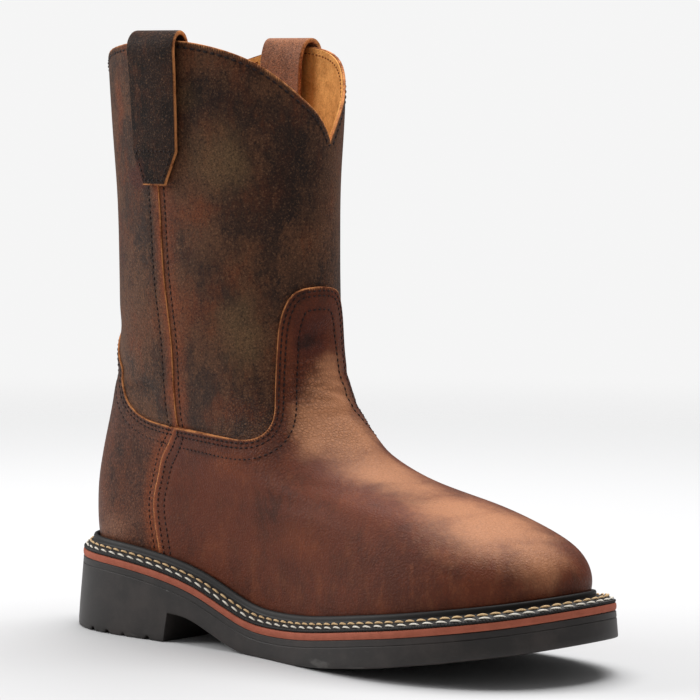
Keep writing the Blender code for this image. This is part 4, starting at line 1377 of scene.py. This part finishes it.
def creased_rows(creased, taken):
    """Close rows of points where the leather is creased, clear of the points already taken."""
    turns = np.arange(creased.first_turn, creased.last_turn, CREASE_STEP / SPAN[0])
    levels = np.arange(creased.first_level, creased.last_level, CREASE_STEP * ROW_STEP / SPAN[1])
    near = tree_of(on_plane(taken * SPAN))
    rows = []
    for number, level in enumerate(levels):
        shifted = turns + CREASE_STEP / SPAN[0] / 2.0 * (number % 2)
        line = np.column_stack([shifted, np.full(len(turns), level)])
        rows.append(line[distances(near, on_plane(line * SPAN)) > CLEAR_SHARE * CREASE_STEP])
    return rows


def lattice(taken, border, step):
    """An even lattice over the whole panel, on the flat sheet, clear of the points already taken."""
    low, high = (border * SPAN).min(axis=0), (border * SPAN).max(axis=0)
    places = []
    for row, across in enumerate(np.arange(low[1], high[1], step * ROW_STEP)):
        for along in np.arange(low[0] + step / 2.0 * (row % 2), high[0], step):
            places.append((along, across))
    places = np.array(places)
    return places[distances(tree_of(on_plane(taken * SPAN)), on_plane(places)) > CLEAR_SHARE * step]


# %% Cutting a panel
EDGE_RADIUS = 0.55
EDGE_DROP = 0.8
CUT_SHOWN = (0.12, 0.5)
STITCH_DENT = 0.3
STITCH_DENT_WIDTH = 0.55
THINNEST = 0.2
INSIDE_ONLY = 1
SAME_PLACE = 1e-5


def triangulated(flat, border_count):
    """Places in turns and levels, and triangles, that fill the border on the flat sheet."""
    border = [list(range(border_count))]
    cut = delaunay_2d_cdt([Vector(point) for point in flat.tolist()], [], border, INSIDE_ONLY, SAME_PLACE)
    corners = np.array([tuple(corner) for corner in cut[0]]) / SPAN
    used = sorted({index for triangle in cut[2] for index in triangle})
    new_number = {old: new for new, old in enumerate(used)}
    return corners[used], [tuple(new_number[index] for index in triangle) for triangle in cut[2]]


def dented(height, sewn, gap):
    """The face's height and the sewn mask with one stitch row's dent, at a gap from the row."""
    dent = np.exp(-((gap / STITCH_DENT_WIDTH) ** 2))
    return height - STITCH_DENT * dent, np.maximum(sewn, dent)


def panel_skin(middle, edges, guides, face):
    """The face's height at each point, with rounded edges and dents, and its three masks."""
    height = np.full(len(middle), face)
    raw, sewn, worn = np.zeros((3, len(middle)))
    for edge in edges:
        if not edge.cut:
            continue
        gap = distances(fine_tree(edge.line), middle)
        near = np.clip(1.0 - gap / EDGE_RADIUS, 0.0, 1.0)
        height = height - EDGE_RADIUS * (1.0 - np.sqrt(1.0 - near**2)) * EDGE_DROP
        raw = np.maximum(raw, 1.0 - smooth(*CUT_SHOWN, gap))
        if edge.worn:
            worn = np.maximum(worn, 1.0 - smooth(0.0, edge.worn, gap))
        for row in edge.rows:
            height, sewn = dented(height, sewn, gap - row)
    for guide in guides:
        gap = distances(fine_tree(guide.line), middle)
        if guide.stitched:
            height, sewn = dented(height, sewn, gap)
        if guide.worn:
            worn = np.maximum(worn, guide.strength * (1.0 - smooth(0.0, guide.worn, gap)))
    return height, raw, sewn, worn


def panel(name, edges, face, sunk, finish, step=PANEL_STEP, guides=(), creased=None):
    """A leather panel. Its outline runs clockwise, face is its outer height and sunk gives its inner one."""
    border = np.vstack([evenly(edge.line, BORDER_STEP)[:-1] for edge in edges])
    taken = [border] + rings_inside(edges, guides, tree_of(form(*border.T)))
    if creased:
        taken += creased_rows(creased, np.vstack(taken))
    taken = np.vstack(taken)
    places, triangles = triangulated(np.vstack([taken * SPAN, lattice(taken, border, step)]), len(border))
    turn, level = places.T
    height, raw, sewn, worn = panel_skin(form(turn, level), edges, guides, face)
    inner = np.minimum(sunk(turn, level), height - THINNEST)
    points = np.vstack([place(turn, level, height), place(turn, level, inner)])
    count = len(turn)
    faces = triangles + [tuple(index + count for index in triangle[::-1]) for triangle in triangles]
    sides = {(triangle[i], triangle[i - 2]) for triangle in triangles for i in range(3)}
    for start, end in sorted(sides):
        if (end, start) not in sides:
            faces.append((end, start, start + count, end + count))
    none = np.zeros(count)
    masks = {
        "raw": np.concatenate([raw, raw]),
        "sewn": np.concatenate([sewn, none]),
        "worn": np.concatenate([worn, none]),
    }
    return add_piece(name, points, faces, finish, "upper", masks)


# %% Rows of stitches beside a line
THREAD_LIFT = 0.05
ROW_SPACING = 0.6
LINE_SPACING = 1.0


def level_line(turn, height):
    """A line of turns and levels at the heights given."""
    return np.column_stack([turn, level_at(turn, height)])


def seam_rows(line, distances_out, face, bead):
    """Rows of beads beside a line, each at its own distance and resting in its dent."""
    rows = []
    for distance in distances_out:
        fine = evenly(offset_line(evenly(line, LINE_SPACING), distance), ROW_SPACING)
        turn, level = fine.T
        lay = np.full(len(turn), face - STITCH_DENT + THREAD_LIFT)
        rows.append(bead_row(place(turn, level, lay), form_normal(turn, level), bead))
    return rows


# %% [markdown]
# ## Shaft
#
# Two panels make the shaft. The back one overlaps the front one at each side seam, so its cut edge shows
# as an orange line, with one row of stitches beside it and another further back. Both run up to the
# scalloped collar.

# %% Side seam, collar and foot lines of the shaft
SideSeamPoint = namedtuple("SideSeamPoint", "level turn")
SIDE_SEAM_LINE = [
    SideSeamPoint(4.0, 0.466),
    SideSeamPoint(6.2, 0.474),
    SideSeamPoint(6.8, 0.490),
    SideSeamPoint(7.6, 0.500),
    SideSeamPoint(8.7, 0.492),
    SideSeamPoint(9.9, 0.482),
    SideSeamPoint(11.0, 0.478),
    SideSeamPoint(13.0, 0.478),
]
SIDE_SEAM_PLACES = 120
FOOT_PLACES = 300
COLLAR_PLACES = 500
SHAFT_FOOT_DROP = 14.0
BACK_SPAN = (-0.6, 0.6)
FRONT_SPAN = (0.3, 1.7)
SEAM_OVERLAP = 9.0
OVERLAP_BLEND = (10.0, 11.5)
SHAFT_SUNK = -2.65
OVERLAP_SUNK = -1.22
COLLAR_ROW = 2.9
SIDE_ROWS = (7.0,)
FRONT_ROW = 3.0
FRONT_WORN = (9.0, 0.6)
SIDE_WORN = 6.0


def side_seam(side):
    """The side seam's line, on the outer side for 1 and the inner side for -1."""
    knots = [point.level for point in SIDE_SEAM_LINE]
    turns = [point.turn for point in SIDE_SEAM_LINE]
    level = np.linspace(knots[0], TOP_LEVEL, SIDE_SEAM_PLACES)
    return np.column_stack([side * spline(knots, turns, level), level])


def shaft_foot(start, end):
    """The hidden lower edge of the shaft, some way below the vamp line."""
    turn = np.linspace(start, end, FOOT_PLACES)
    return level_line(turn, vamp_height(turn) - SHAFT_FOOT_DROP)


def collar_line(start, end):
    """The collar's edge between two turns."""
    turn = np.linspace(start, end, COLLAR_PLACES)
    return level_line(turn, collar_height(turn))


def joined(*lines):
    """Edges whose ends are brought together, so that the outline closes."""
    fixed = [line.copy() for line in lines]
    for number in range(len(fixed)):
        fixed[number - 1][-1] = fixed[number][0]
    return fixed


def between(line, foot, collar):
    """The part of a line from a foot line up to a collar line."""
    foot_level = np.interp(line[:, 0], foot[:, 0], foot[:, 1])
    collar_level = np.interp(line[:, 0], collar[:, 0], collar[:, 1])
    return line[(line[:, 1] >= foot_level) & (line[:, 1] <= collar_level)]


def trimmed(line, start, end):
    """The part of a line between two turns."""
    return line[(line[:, 0] > start) & (line[:, 0] < end)]


def spanned(line, start, end):
    """The part of a line between two points, with those two as its ends."""
    return np.vstack([start, trimmed(line, start[0], end[0]), end])


# %% Outline and thickness of the shaft's panels
back_foot, back_collar = shaft_foot(*BACK_SPAN), collar_line(*BACK_SPAN)
lateral_seam = between(side_seam(1.0), back_foot, back_collar)
medial_seam = between(side_seam(-1.0), back_foot, back_collar)
back_top = spanned(back_collar, medial_seam[-1], lateral_seam[-1])
back_bottom = spanned(back_foot, medial_seam[0], lateral_seam[0])
seam_tree = tree_of(np.vstack([form(*lateral_seam.T), form(*medial_seam.T)]))


def back_sunk(turn, level):
    """The back panel is thin where it lies over the front one."""
    thin = 1.0 - smooth(*OVERLAP_BLEND, distances(seam_tree, form(turn, level)))
    return SHAFT_SUNK + (OVERLAP_SUNK - SHAFT_SUNK) * thin


def front_sunk(turn, level):
    """The front panel is as thick everywhere."""
    return np.full(len(turn), SHAFT_SUNK)


# %% Back of the shaft
panel(
    "shaft_back",
    [
        Edge(medial_seam, True, SIDE_ROWS, SIDE_WORN),
        Edge(back_top, True, (COLLAR_ROW,)),
        Edge(lateral_seam[::-1], True, SIDE_ROWS, SIDE_WORN),
        Edge(back_bottom[::-1], False, ()),
    ],
    FACE_SHAFT_BACK, back_sunk, SHAFT_LEATHER,
)

# %% Front of the shaft
lateral_under = offset_line(lateral_seam, -SEAM_OVERLAP)
medial_under = offset_line(medial_seam[::-1], -SEAM_OVERLAP)[::-1] + ONE_ROUND
front_foot, front_collar = shaft_foot(*FRONT_SPAN), collar_line(*FRONT_SPAN)
lateral_under = between(lateral_under, front_foot, front_collar)
medial_under = between(medial_under, front_foot, front_collar)
front_top = spanned(front_collar, lateral_under[-1], medial_under[-1])
front_bottom = spanned(front_foot, lateral_under[0], medial_under[0])
front_rows = [
    offset_line(evenly(lateral_seam[::-1], LINE_SPACING), -FRONT_ROW),
    offset_line(evenly(medial_seam, LINE_SPACING), -FRONT_ROW) + ONE_ROUND,
]
panel(
    "shaft_front",
    [
        Edge(lateral_under, False, ()),
        Edge(front_top, True, (COLLAR_ROW,)),
        Edge(medial_under[::-1], False, ()),
        Edge(front_bottom[::-1], False, ()),
    ],
    FACE_SHAFT_FRONT, front_sunk, SHAFT_LEATHER,
    guides=[Guide(line, True, *FRONT_WORN) for line in front_rows],
)

# %% [markdown]
# ## Counter and vamp
#
# The counter wraps the heel and the vamp covers the foot, with a tab that climbs the front of the shaft.
# The vamp lies over the counter at a seam on each side. Both have their cut edge along the top, with
# three rows of stitches.

# %% Lines of the counter and the vamp
FOOT_LEVEL = -0.02
COUNTER_UNDERLAP = 0.03
VAMP_LINE_PLACES = 1400
COUNTER_SEAM_PLACES = 160
TOP_ROWS = (1.8, 4.1, 10.4)
VAMP_SEAM_ROWS = (3.2, 7.4)
COUNTER_SIDE_ROW = 3.4
COUNTER_WORN = (6.5, 1.0)
SEAM_WORN = 4.5
FOOT_SUNK = -1.6
COUNTER_THINNED = 1.05
VAMP_THINNED = 0.35
THINNED_LEVELS = (3.4, 4.2)
VAMP_STEP = 2.2
VAMP_CREASED = Creased(0.84, 1.10, 6.35, 8.35)

SeamPoint = namedtuple("SeamPoint", "share turn")
COUNTER_SEAM = [
    SeamPoint(0.00, 0.304),
    SeamPoint(0.20, 0.302),
    SeamPoint(0.45, 0.306),
    SeamPoint(0.65, 0.334),
    SeamPoint(0.83, 0.384),
    SeamPoint(1.00, 0.466),
]


def vamp_line(start, end):
    """The vamp's top edge between two turns."""
    turn = np.linspace(start, end, VAMP_LINE_PLACES)
    return level_line(turn, vamp_height(turn))


def counter_seam(side, shift):
    """Points up the seam between counter and vamp, on the outer side for 1 and the inner side for -1."""
    share = np.linspace(0.0, 1.0, COUNTER_SEAM_PLACES)
    knots = [point.share for point in COUNTER_SEAM]
    turn = spline(knots, [point.turn for point in COUNTER_SEAM], share) + shift
    top = level_at(turn[-1:], vamp_height(turn[-1:]))[0]
    return np.column_stack([side * turn, FOOT_LEVEL + (top - FOOT_LEVEL) * share])


def foot_line(start, end):
    """The panels' lower edge, just under the feather line."""
    turn = np.linspace(start, end, FOOT_PLACES)
    return np.column_stack([turn, np.full(len(turn), FOOT_LEVEL)])


def counter_sunk(turn, level):
    """The counter is thin where it lies over the shaft."""
    return FOOT_SUNK + COUNTER_THINNED * smooth(*THINNED_LEVELS, level)


def vamp_sunk(turn, level):
    """The vamp is a little thinner where it lies over the shaft."""
    return FOOT_SUNK + VAMP_THINNED * smooth(*THINNED_LEVELS, level)


# %% Heel counter
counter_left, counter_right = counter_seam(-1.0, COUNTER_UNDERLAP), counter_seam(1.0, COUNTER_UNDERLAP)
counter_top = vamp_line(counter_left[-1, 0], counter_right[-1, 0])
counter_edges = joined(
    counter_left, counter_top, counter_right[::-1], foot_line(counter_right[0, 0], counter_left[0, 0])
)
counter_rows = [
    offset_line(evenly(line, LINE_SPACING), -COUNTER_SIDE_ROW)
    for line in (counter_seam(1.0, 0.0), counter_seam(-1.0, 0.0)[::-1])
]
panel(
    "heel_counter",
    [
        Edge(counter_edges[0], False, ()),
        Edge(counter_edges[1], True, TOP_ROWS),
        Edge(counter_edges[2], False, ()),
        Edge(counter_edges[3], False, ()),
    ],
    FACE_COUNTER, counter_sunk, COUNTER_LEATHER,
    guides=[Guide(line, True, *COUNTER_WORN) for line in counter_rows],
)

# %% Vamp
vamp_left, vamp_right = counter_seam(1.0, 0.0), counter_seam(-1.0, 0.0) + ONE_ROUND
vamp_top = vamp_line(vamp_left[-1, 0], vamp_right[-1, 0])
vamp_edges = joined(vamp_left, vamp_top, vamp_right[::-1], foot_line(vamp_right[0, 0], vamp_left[0, 0]))
panel(
    "vamp",
    [
        Edge(vamp_edges[0], True, VAMP_SEAM_ROWS, SEAM_WORN),
        Edge(vamp_edges[1], True, TOP_ROWS),
        Edge(vamp_edges[2], True, VAMP_SEAM_ROWS, SEAM_WORN),
        Edge(vamp_edges[3], False, ()),
    ],
    FACE_VAMP, vamp_sunk, VAMP_LEATHER, step=VAMP_STEP, creased=VAMP_CREASED,
)

# %% [markdown]
# ## Lining
#
# The lining is one tube of golden suede inside the whole boot, from the feather line to the collar. Its
# inner face is the one that the solid has, so the foot keeps its room.

# %% Lining
LINING_COLUMNS = 150
LINING_LEVELS = 90
OUTER_FOOT = -1.75
OUTER_SHAFT = -2.75
INNER_FOOT = -2.5
INNER_SHAFT = -3.4
LINING_BLEND = (4.0, 8.0)
LINING_DROP = 0.5


def make_lining():
    """The tube of suede, its outer face from the bottom up and then its inner one down again."""
    turn = twisted(turns_around(LINING_COLUMNS))
    top = level_at(turn, collar_height(turn) - LINING_DROP)
    upwards = np.linspace(0.0, 1.0, LINING_LEVELS + 1)
    rows = []
    for foot, shaft, shares in ((OUTER_FOOT, OUTER_SHAFT, upwards), (INNER_FOOT, INNER_SHAFT, upwards[::-1])):
        for share in shares:
            out = foot + (shaft - foot) * smooth(*LINING_BLEND, share * top)
            rows.append(place(turn, share * top, out))
    faces = side_faces(len(rows), len(turn), ring=True)
    return add_piece("suede_lining", np.vstack(rows), faces, plain["suede_lining"], "upper")


make_lining()

# %% [markdown]
# ## Stitching of the upper
#
# The same lines that dented the panels now carry their thread, so each stitch sits in its own dent.

# %% Thread on the upper
UPPER_BEAD = Bead(2.9, 2.25, 0.8, 0.45)
COLLAR_BEAD = Bead(3.6, 3.3, 1.25, 0.55)
COUNTER_END_GAP = 0.012
VAMP_END_GAP = 0.004
RIM_PLACES = 1200

corner_turn = COUNTER_SEAM[-1].turn
counter_end, vamp_start = corner_turn - COUNTER_END_GAP, corner_turn + VAMP_END_GAP
counter_visible = evenly(vamp_line(-counter_end, counter_end), LINE_SPACING)
upper_rows = []
for line, rows_at, face, bead in (
    (vamp_line(vamp_start, 2.0 - vamp_start), TOP_ROWS, FACE_VAMP, UPPER_BEAD),
    (counter_visible, TOP_ROWS, FACE_COUNTER, UPPER_BEAD),
    (vamp_left, VAMP_SEAM_ROWS, FACE_VAMP, UPPER_BEAD),
    (vamp_right[::-1], VAMP_SEAM_ROWS, FACE_VAMP, UPPER_BEAD),
    (back_top, (COLLAR_ROW,), FACE_SHAFT_BACK, COLLAR_BEAD),
    (front_top, (COLLAR_ROW,), FACE_SHAFT_FRONT, COLLAR_BEAD),
    (lateral_seam[::-1], SIDE_ROWS, FACE_SHAFT_BACK, UPPER_BEAD),
    (medial_seam, SIDE_ROWS, FACE_SHAFT_BACK, UPPER_BEAD),
    (front_rows[0], (0.0,), FACE_SHAFT_FRONT, UPPER_BEAD),
    (front_rows[1], (0.0,), FACE_SHAFT_FRONT, UPPER_BEAD),
    (counter_rows[0], (0.0,), FACE_COUNTER, UPPER_BEAD),
    (counter_rows[1], (0.0,), FACE_COUNTER, UPPER_BEAD),
):
    upper_rows += seam_rows(line, rows_at, face, bead)
rim_turn = twisted(np.linspace(0.0, 2.0, RIM_PLACES))
rim_level = level_at(rim_turn, collar_height(rim_turn) - LINING_DROP - COLLAR_ROW)
rim_places = place(rim_turn, rim_level, INNER_SHAFT)
lining_row = bead_row(rim_places, -form_normal(rim_turn, rim_level), UPPER_BEAD)
add_beads("lining_stitches", [lining_row], plain["lining_thread"], "upper")
add_beads("upper_stitches", upper_rows, plain["upper_thread"], "upper")

# %% [markdown]
# ## Pull straps
#
# Each pull strap is a band of leather that starts outside the shaft, loops over the collar and ends
# inside. A bent plane would look thin at the loop, so the band is swept along its route with a rounded
# section, whose narrow sides are the cut edges.

# %% Sizes, path and section of a strap
STRAP_WIDTH = 30.0
STRAP_END_WIDTH = 15.0
STRAP_THICKNESS = 2.2
STRAP_TURN = 0.497
STRAP_LEAN = 0.0003
StrapPoint = namedtuple("StrapPoint", "outward height")
STRAP_ROUTE = [
    StrapPoint(1.3, -69.0),
    StrapPoint(1.3, -53.0),
    StrapPoint(1.5, -38.0),
    StrapPoint(2.2, -22.0),
    StrapPoint(3.0, -9.0),
    StrapPoint(2.6, -0.5),
    StrapPoint(-0.8, 3.3),
    StrapPoint(-5.0, 2.8),
    StrapPoint(-8.2, -2.5),
    StrapPoint(-9.0, -12.0),
    StrapPoint(-8.4, -27.0),
    StrapPoint(-7.2, -41.0),
    StrapPoint(-6.2, -54.0),
]
STRAP_FINE_ROWS = 150
STRAP_INNER_COLUMNS = 9
STRAP_CORNER = ((0.5, 0.0, 0.0), (0.15, 0.2, 0.6), (0.0, 0.55, 1.0))


def strap_path():
    """The strap's middle line, its outward direction, its width and the distance along it."""
    route = np.array(STRAP_ROUTE, float)
    along = arc_lengths(route)
    places = np.linspace(0.0, along[-1], STRAP_FINE_ROWS + 1)
    path = spline(along, route, places)
    ahead = unit(np.gradient(path, axis=0))
    width = np.interp(places, [0.0, along[1]], [STRAP_END_WIDTH, STRAP_WIDTH])
    return path, np.column_stack([ahead[:, 1], -ahead[:, 0]]), width, places


def strap_point(turn_at_middle, side, path, out_up, across, lift):
    """Points across the strap at one row, lifted off its middle line by lift."""
    top = form_ring(TOP_LEVEL)
    half_girth = float(top.front_x - top.back_x) / 2.0 * math.pi / 2.0
    outward, height = path
    lean = STRAP_LEAN * min(height, 0.0)
    turn = turn_at_middle + side * (across / (2.0 * half_girth) + lean)
    rim = float(collar_height(turn_at_middle))
    level = level_at(turn, np.full(np.shape(turn), rim + min(height, 0.0)))
    base = form(turn, level) + form_normal(turn, level) * relief(turn, level)[..., None]
    flat = unit(form_normal(turn, level) * [1.0, 1.0, 0.0])
    rise = np.array([0.0, 0.0, 1.0])
    middle = base + flat * outward + rise * max(height, 0.0)
    shift = flat * out_up[0] + rise * out_up[1]
    return middle + shift * np.asarray(lift)[..., None]


def strap_section(width):
    """Across and lift of the points round the strap's section, with how much cut edge shows."""
    half = STRAP_THICKNESS / 2.0
    edge = width / 2.0
    lower = [(-edge + inset, -half + rise, cut) for inset, rise, cut in STRAP_CORNER]
    upper = [(-edge + inset, half - rise, cut) for inset, rise, cut in reversed(STRAP_CORNER)]
    across, lift, raw = (list(column) for column in zip(*lower, *upper))
    inner = np.linspace(-edge + 1.0, edge - 1.0, STRAP_INNER_COLUMNS)
    across = across + list(inner) + [-value for value in across[::-1]] + list(inner[::-1])
    lift = lift + [half] * len(inner) + lift[::-1] + [-half] * len(inner)
    raw = raw + [0.0] * len(inner) + raw[::-1] + [0.0] * len(inner)
    return np.array(across), np.array(lift), np.array(raw)


# %% The two straps
def make_strap(name, node, turn_at_middle, side, finish):
    """One strap as a band with a flat cap at each end."""
    path, out_up, width, _ = strap_path()
    rows, raw = [], []
    for number in range(len(path)):
        across, lift, cut = strap_section(width[number])
        rows.append(strap_point(turn_at_middle, side, path[number], out_up[number], across, lift))
        raw.append(np.ones(len(cut)) if number in (0, len(path) - 1) else cut)
    count = len(rows[0])
    faces = side_faces(len(rows), count, ring=False)
    faces.append(tuple(range(count - 1, -1, -1)))
    faces.append(tuple(range((len(rows) - 1) * count, len(rows) * count)))
    none = np.zeros(count * len(rows))
    masks = {"raw": np.concatenate(raw), "sewn": none, "worn": none}
    return add_piece(name, np.vstack(rows), faces, finish, node, masks)


make_strap("strap_outer_side", "pull_strap_lateral", STRAP_TURN, 1.0, STRAP_LEATHER)
make_strap("strap_inner_side", "pull_strap_medial", 2.0 - STRAP_TURN, -1.0, INNER_STRAP_LEATHER)

# %% [markdown]
# ## Stitched ends of the straps
#
# A saddler closes the strap's end with a box of stitches, four-sided because the end is cut to a taper.
# The box is a line over the strap's own face, in distance along and across it, so the thread follows the
# band where it bends.

# %% Stitched end of each strap
STRAP_INSET = 2.4
STRAP_HOLD = 3.0
STRAP_BEAD = Bead(2.7, 2.2, 0.8, 0.45)
STRAP_STEP = 0.7
STRAP_THREAD_SINK = 0.1


def strap_seam(turn_at_middle, side, stops):
    """A line over the strap's outer face through stops of distance along and distance across."""
    path, out_up, _, places = strap_path()
    stops = np.array(stops, float)
    along = arc_lengths(stops)
    fine = np.linspace(0.0, along[-1], max(8, int(along[-1] / STRAP_STEP)))
    line, outs = [], []
    for distance, across in zip(np.interp(fine, along, stops[:, 0]), np.interp(fine, along, stops[:, 1])):
        here = [np.interp(distance, places, path[:, i]) for i in range(2)]
        out = unit(np.array([np.interp(distance, places, out_up[:, i]) for i in range(2)]))
        lifts = [STRAP_THICKNESS / 2.0 - STRAP_THREAD_SINK, 3.0]
        pair = strap_point(turn_at_middle, side, here, out, np.array([across, across]), lifts)
        line.append(pair[0])
        outs.append(pair[1] - pair[0])
    return np.array(line), unit(np.array(outs))


def strap_seams(turn_at_middle, side):
    """The box of stitches that holds the strap's outer end, and one across its inner end."""
    _, _, width, places = strap_path()
    hold = places[np.argmax(width > STRAP_WIDTH - 0.1)]
    wide = STRAP_WIDTH / 2.0 - STRAP_INSET
    narrow = STRAP_END_WIDTH / 2.0 - STRAP_INSET * 0.4
    low = STRAP_INSET
    box = [(hold, -wide), (low, -narrow), (low, narrow), (hold, wide)]
    end = places[-1] - STRAP_HOLD
    lines = (box, [(hold, -wide), (hold, wide)], [(end, -wide), (end, wide)])
    return [bead_row(*strap_seam(turn_at_middle, side, stops), STRAP_BEAD) for stops in lines]


thread = plain["upper_thread"]
outer_seams = strap_seams(STRAP_TURN, 1.0)
add_beads("strap_stitches_outer_side", outer_seams, thread, "pull_strap_lateral")
inner_seams = strap_seams(2.0 - STRAP_TURN, -1.0)
add_beads("strap_stitches_inner_side", inner_seams, thread, "pull_strap_medial")

# %% [markdown]
# ## Footbed
#
# The insole is a plain board of leather that nobody sees past the ankle, so its solid is good enough as
# it is, and only takes a finish.

# %% Footbed
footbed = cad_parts["insole"]
for material_slot in footbed.material_slots:
    material_slot.material = plain["footbed_leather"]
print("footbed slots", len(footbed.material_slots))

# %% [markdown]
# ## Stage
#
# The camera stands where the photographer stood, a long lens from the boot's outer front quarter and a
# little above the floor.

# %% Camera
VIEW_AZIMUTH = math.radians(40.4)
VIEW_HEIGHT = math.radians(4.82)
VIEW_DISTANCE = 1861.0
VIEW_TARGET = (93.6, 144.7, 125.1)
AIM = (-76.0, 10.0)
FOCAL_PIXELS = 3272.0
ZOOM = 1.1
FRAME_PIXELS = 700.0
SENSOR = 36.0

back_off = np.array([
    math.sin(VIEW_AZIMUTH) * math.cos(VIEW_HEIGHT),
    -math.cos(VIEW_AZIMUTH) * math.cos(VIEW_HEIGHT),
    math.sin(VIEW_HEIGHT),
])
stand = np.array(VIEW_TARGET) + back_off * VIEW_DISTANCE
right = np.array([math.cos(VIEW_AZIMUTH), math.sin(VIEW_AZIMUTH), 0.0])
up = np.cross(right, -back_off)
ray = -back_off * FOCAL_PIXELS + right * AIM[0] + up * AIM[1]
camera = bpy.data.objects.new("camera", bpy.data.cameras.new("camera"))
camera.data.sensor_width = SENSOR
camera.data.lens = FOCAL_PIXELS * ZOOM / FRAME_PIXELS * SENSOR
camera.location = (stand - [ORIGIN_STATION, 0.0, 0.0]) * MM
camera.rotation_euler = Vector(ray).to_track_quat("-Z", "Y").to_euler()
bpy.context.scene.collection.objects.link(camera)
bpy.context.scene.camera = camera
print(f"lens {camera.data.lens:.0f} mm")

# %% [markdown]
# ## Floor and light
#
# A studio shot of this kind stands on a pale sweep of paper. Here a small floor fades out towards its
# edge into the pale surround. A large soft panel hangs overhead, and a smaller one stands behind on the
# outer side for the leather's sheen. The surround fills the shadows, weaker than the camera sees it.

# %% Floor and light
def add_light(name, place_at, aim_at, size, power):
    """A square soft light, aimed at a point."""
    light = bpy.data.lights.new(name, "AREA")
    light.shape = "SQUARE"
    light.size = size
    light.energy = power
    made = bpy.data.objects.new(name, light)
    made.location = place_at
    made.rotation_euler = (Vector(aim_at) - Vector(place_at)).to_track_quat("-Z", "Y").to_euler()
    bpy.context.scene.collection.objects.link(made)


FLOOR_REACH = 1.5
FLOOR_CLEAR = 0.5
floor_mesh = bpy.data.meshes.new("floor")
floor_corners = [(-1, -1, 0), (1, -1, 0), (1, 1, 0), (-1, 1, 0)]
floor_places = [tuple(FLOOR_REACH * value for value in corner) for corner in floor_corners]
floor_mesh.from_pydata(floor_places, [], [(0, 1, 2, 3)])
floor_finish = Finish("pale_floor")
from_middle = floor_finish.vector("LENGTH", floor_finish.spot)
floor_finish.set("Base Color", (0.62, 0.62, 0.624, 1.0))
floor_finish.set("Roughness", 0.9)
floor_finish.set("Specular IOR Level", 0.0)
floor_finish.set("Alpha", 1.0 - from_middle.ramp(FLOOR_CLEAR, FLOOR_REACH * 0.95))
floor_mesh.materials.append(floor_finish.material)
floor = bpy.data.objects.new("floor", floor_mesh)
bpy.context.scene.collection.objects.link(floor)

BACKGROUND_LEVEL = 0.915
FILL_LEVEL = 0.26
world = bpy.data.worlds.new("studio")
world.use_nodes = True
world_tree = world.node_tree
background = world_tree.nodes["Background"]
seen = Wire(world_tree, 0.0).node("ShaderNodeLightPath", output=0)
(seen * (BACKGROUND_LEVEL - FILL_LEVEL) + FILL_LEVEL).feed(background.inputs["Strength"])
background.inputs["Color"].default_value = (1.0, 1.0, 1.0, 1.0)
bpy.context.scene.world = world
bpy.context.scene.view_settings.view_transform = "Standard"

BOOT_MIDDLE = (0.1, 0.0, 0.13)
add_light("overhead", (0.05, 0.35, 1.6), BOOT_MIDDLE, 1.4, 38.0)
add_light("key", (-1.25, -0.8, 0.9), BOOT_MIDDLE, 0.9, 18.0)
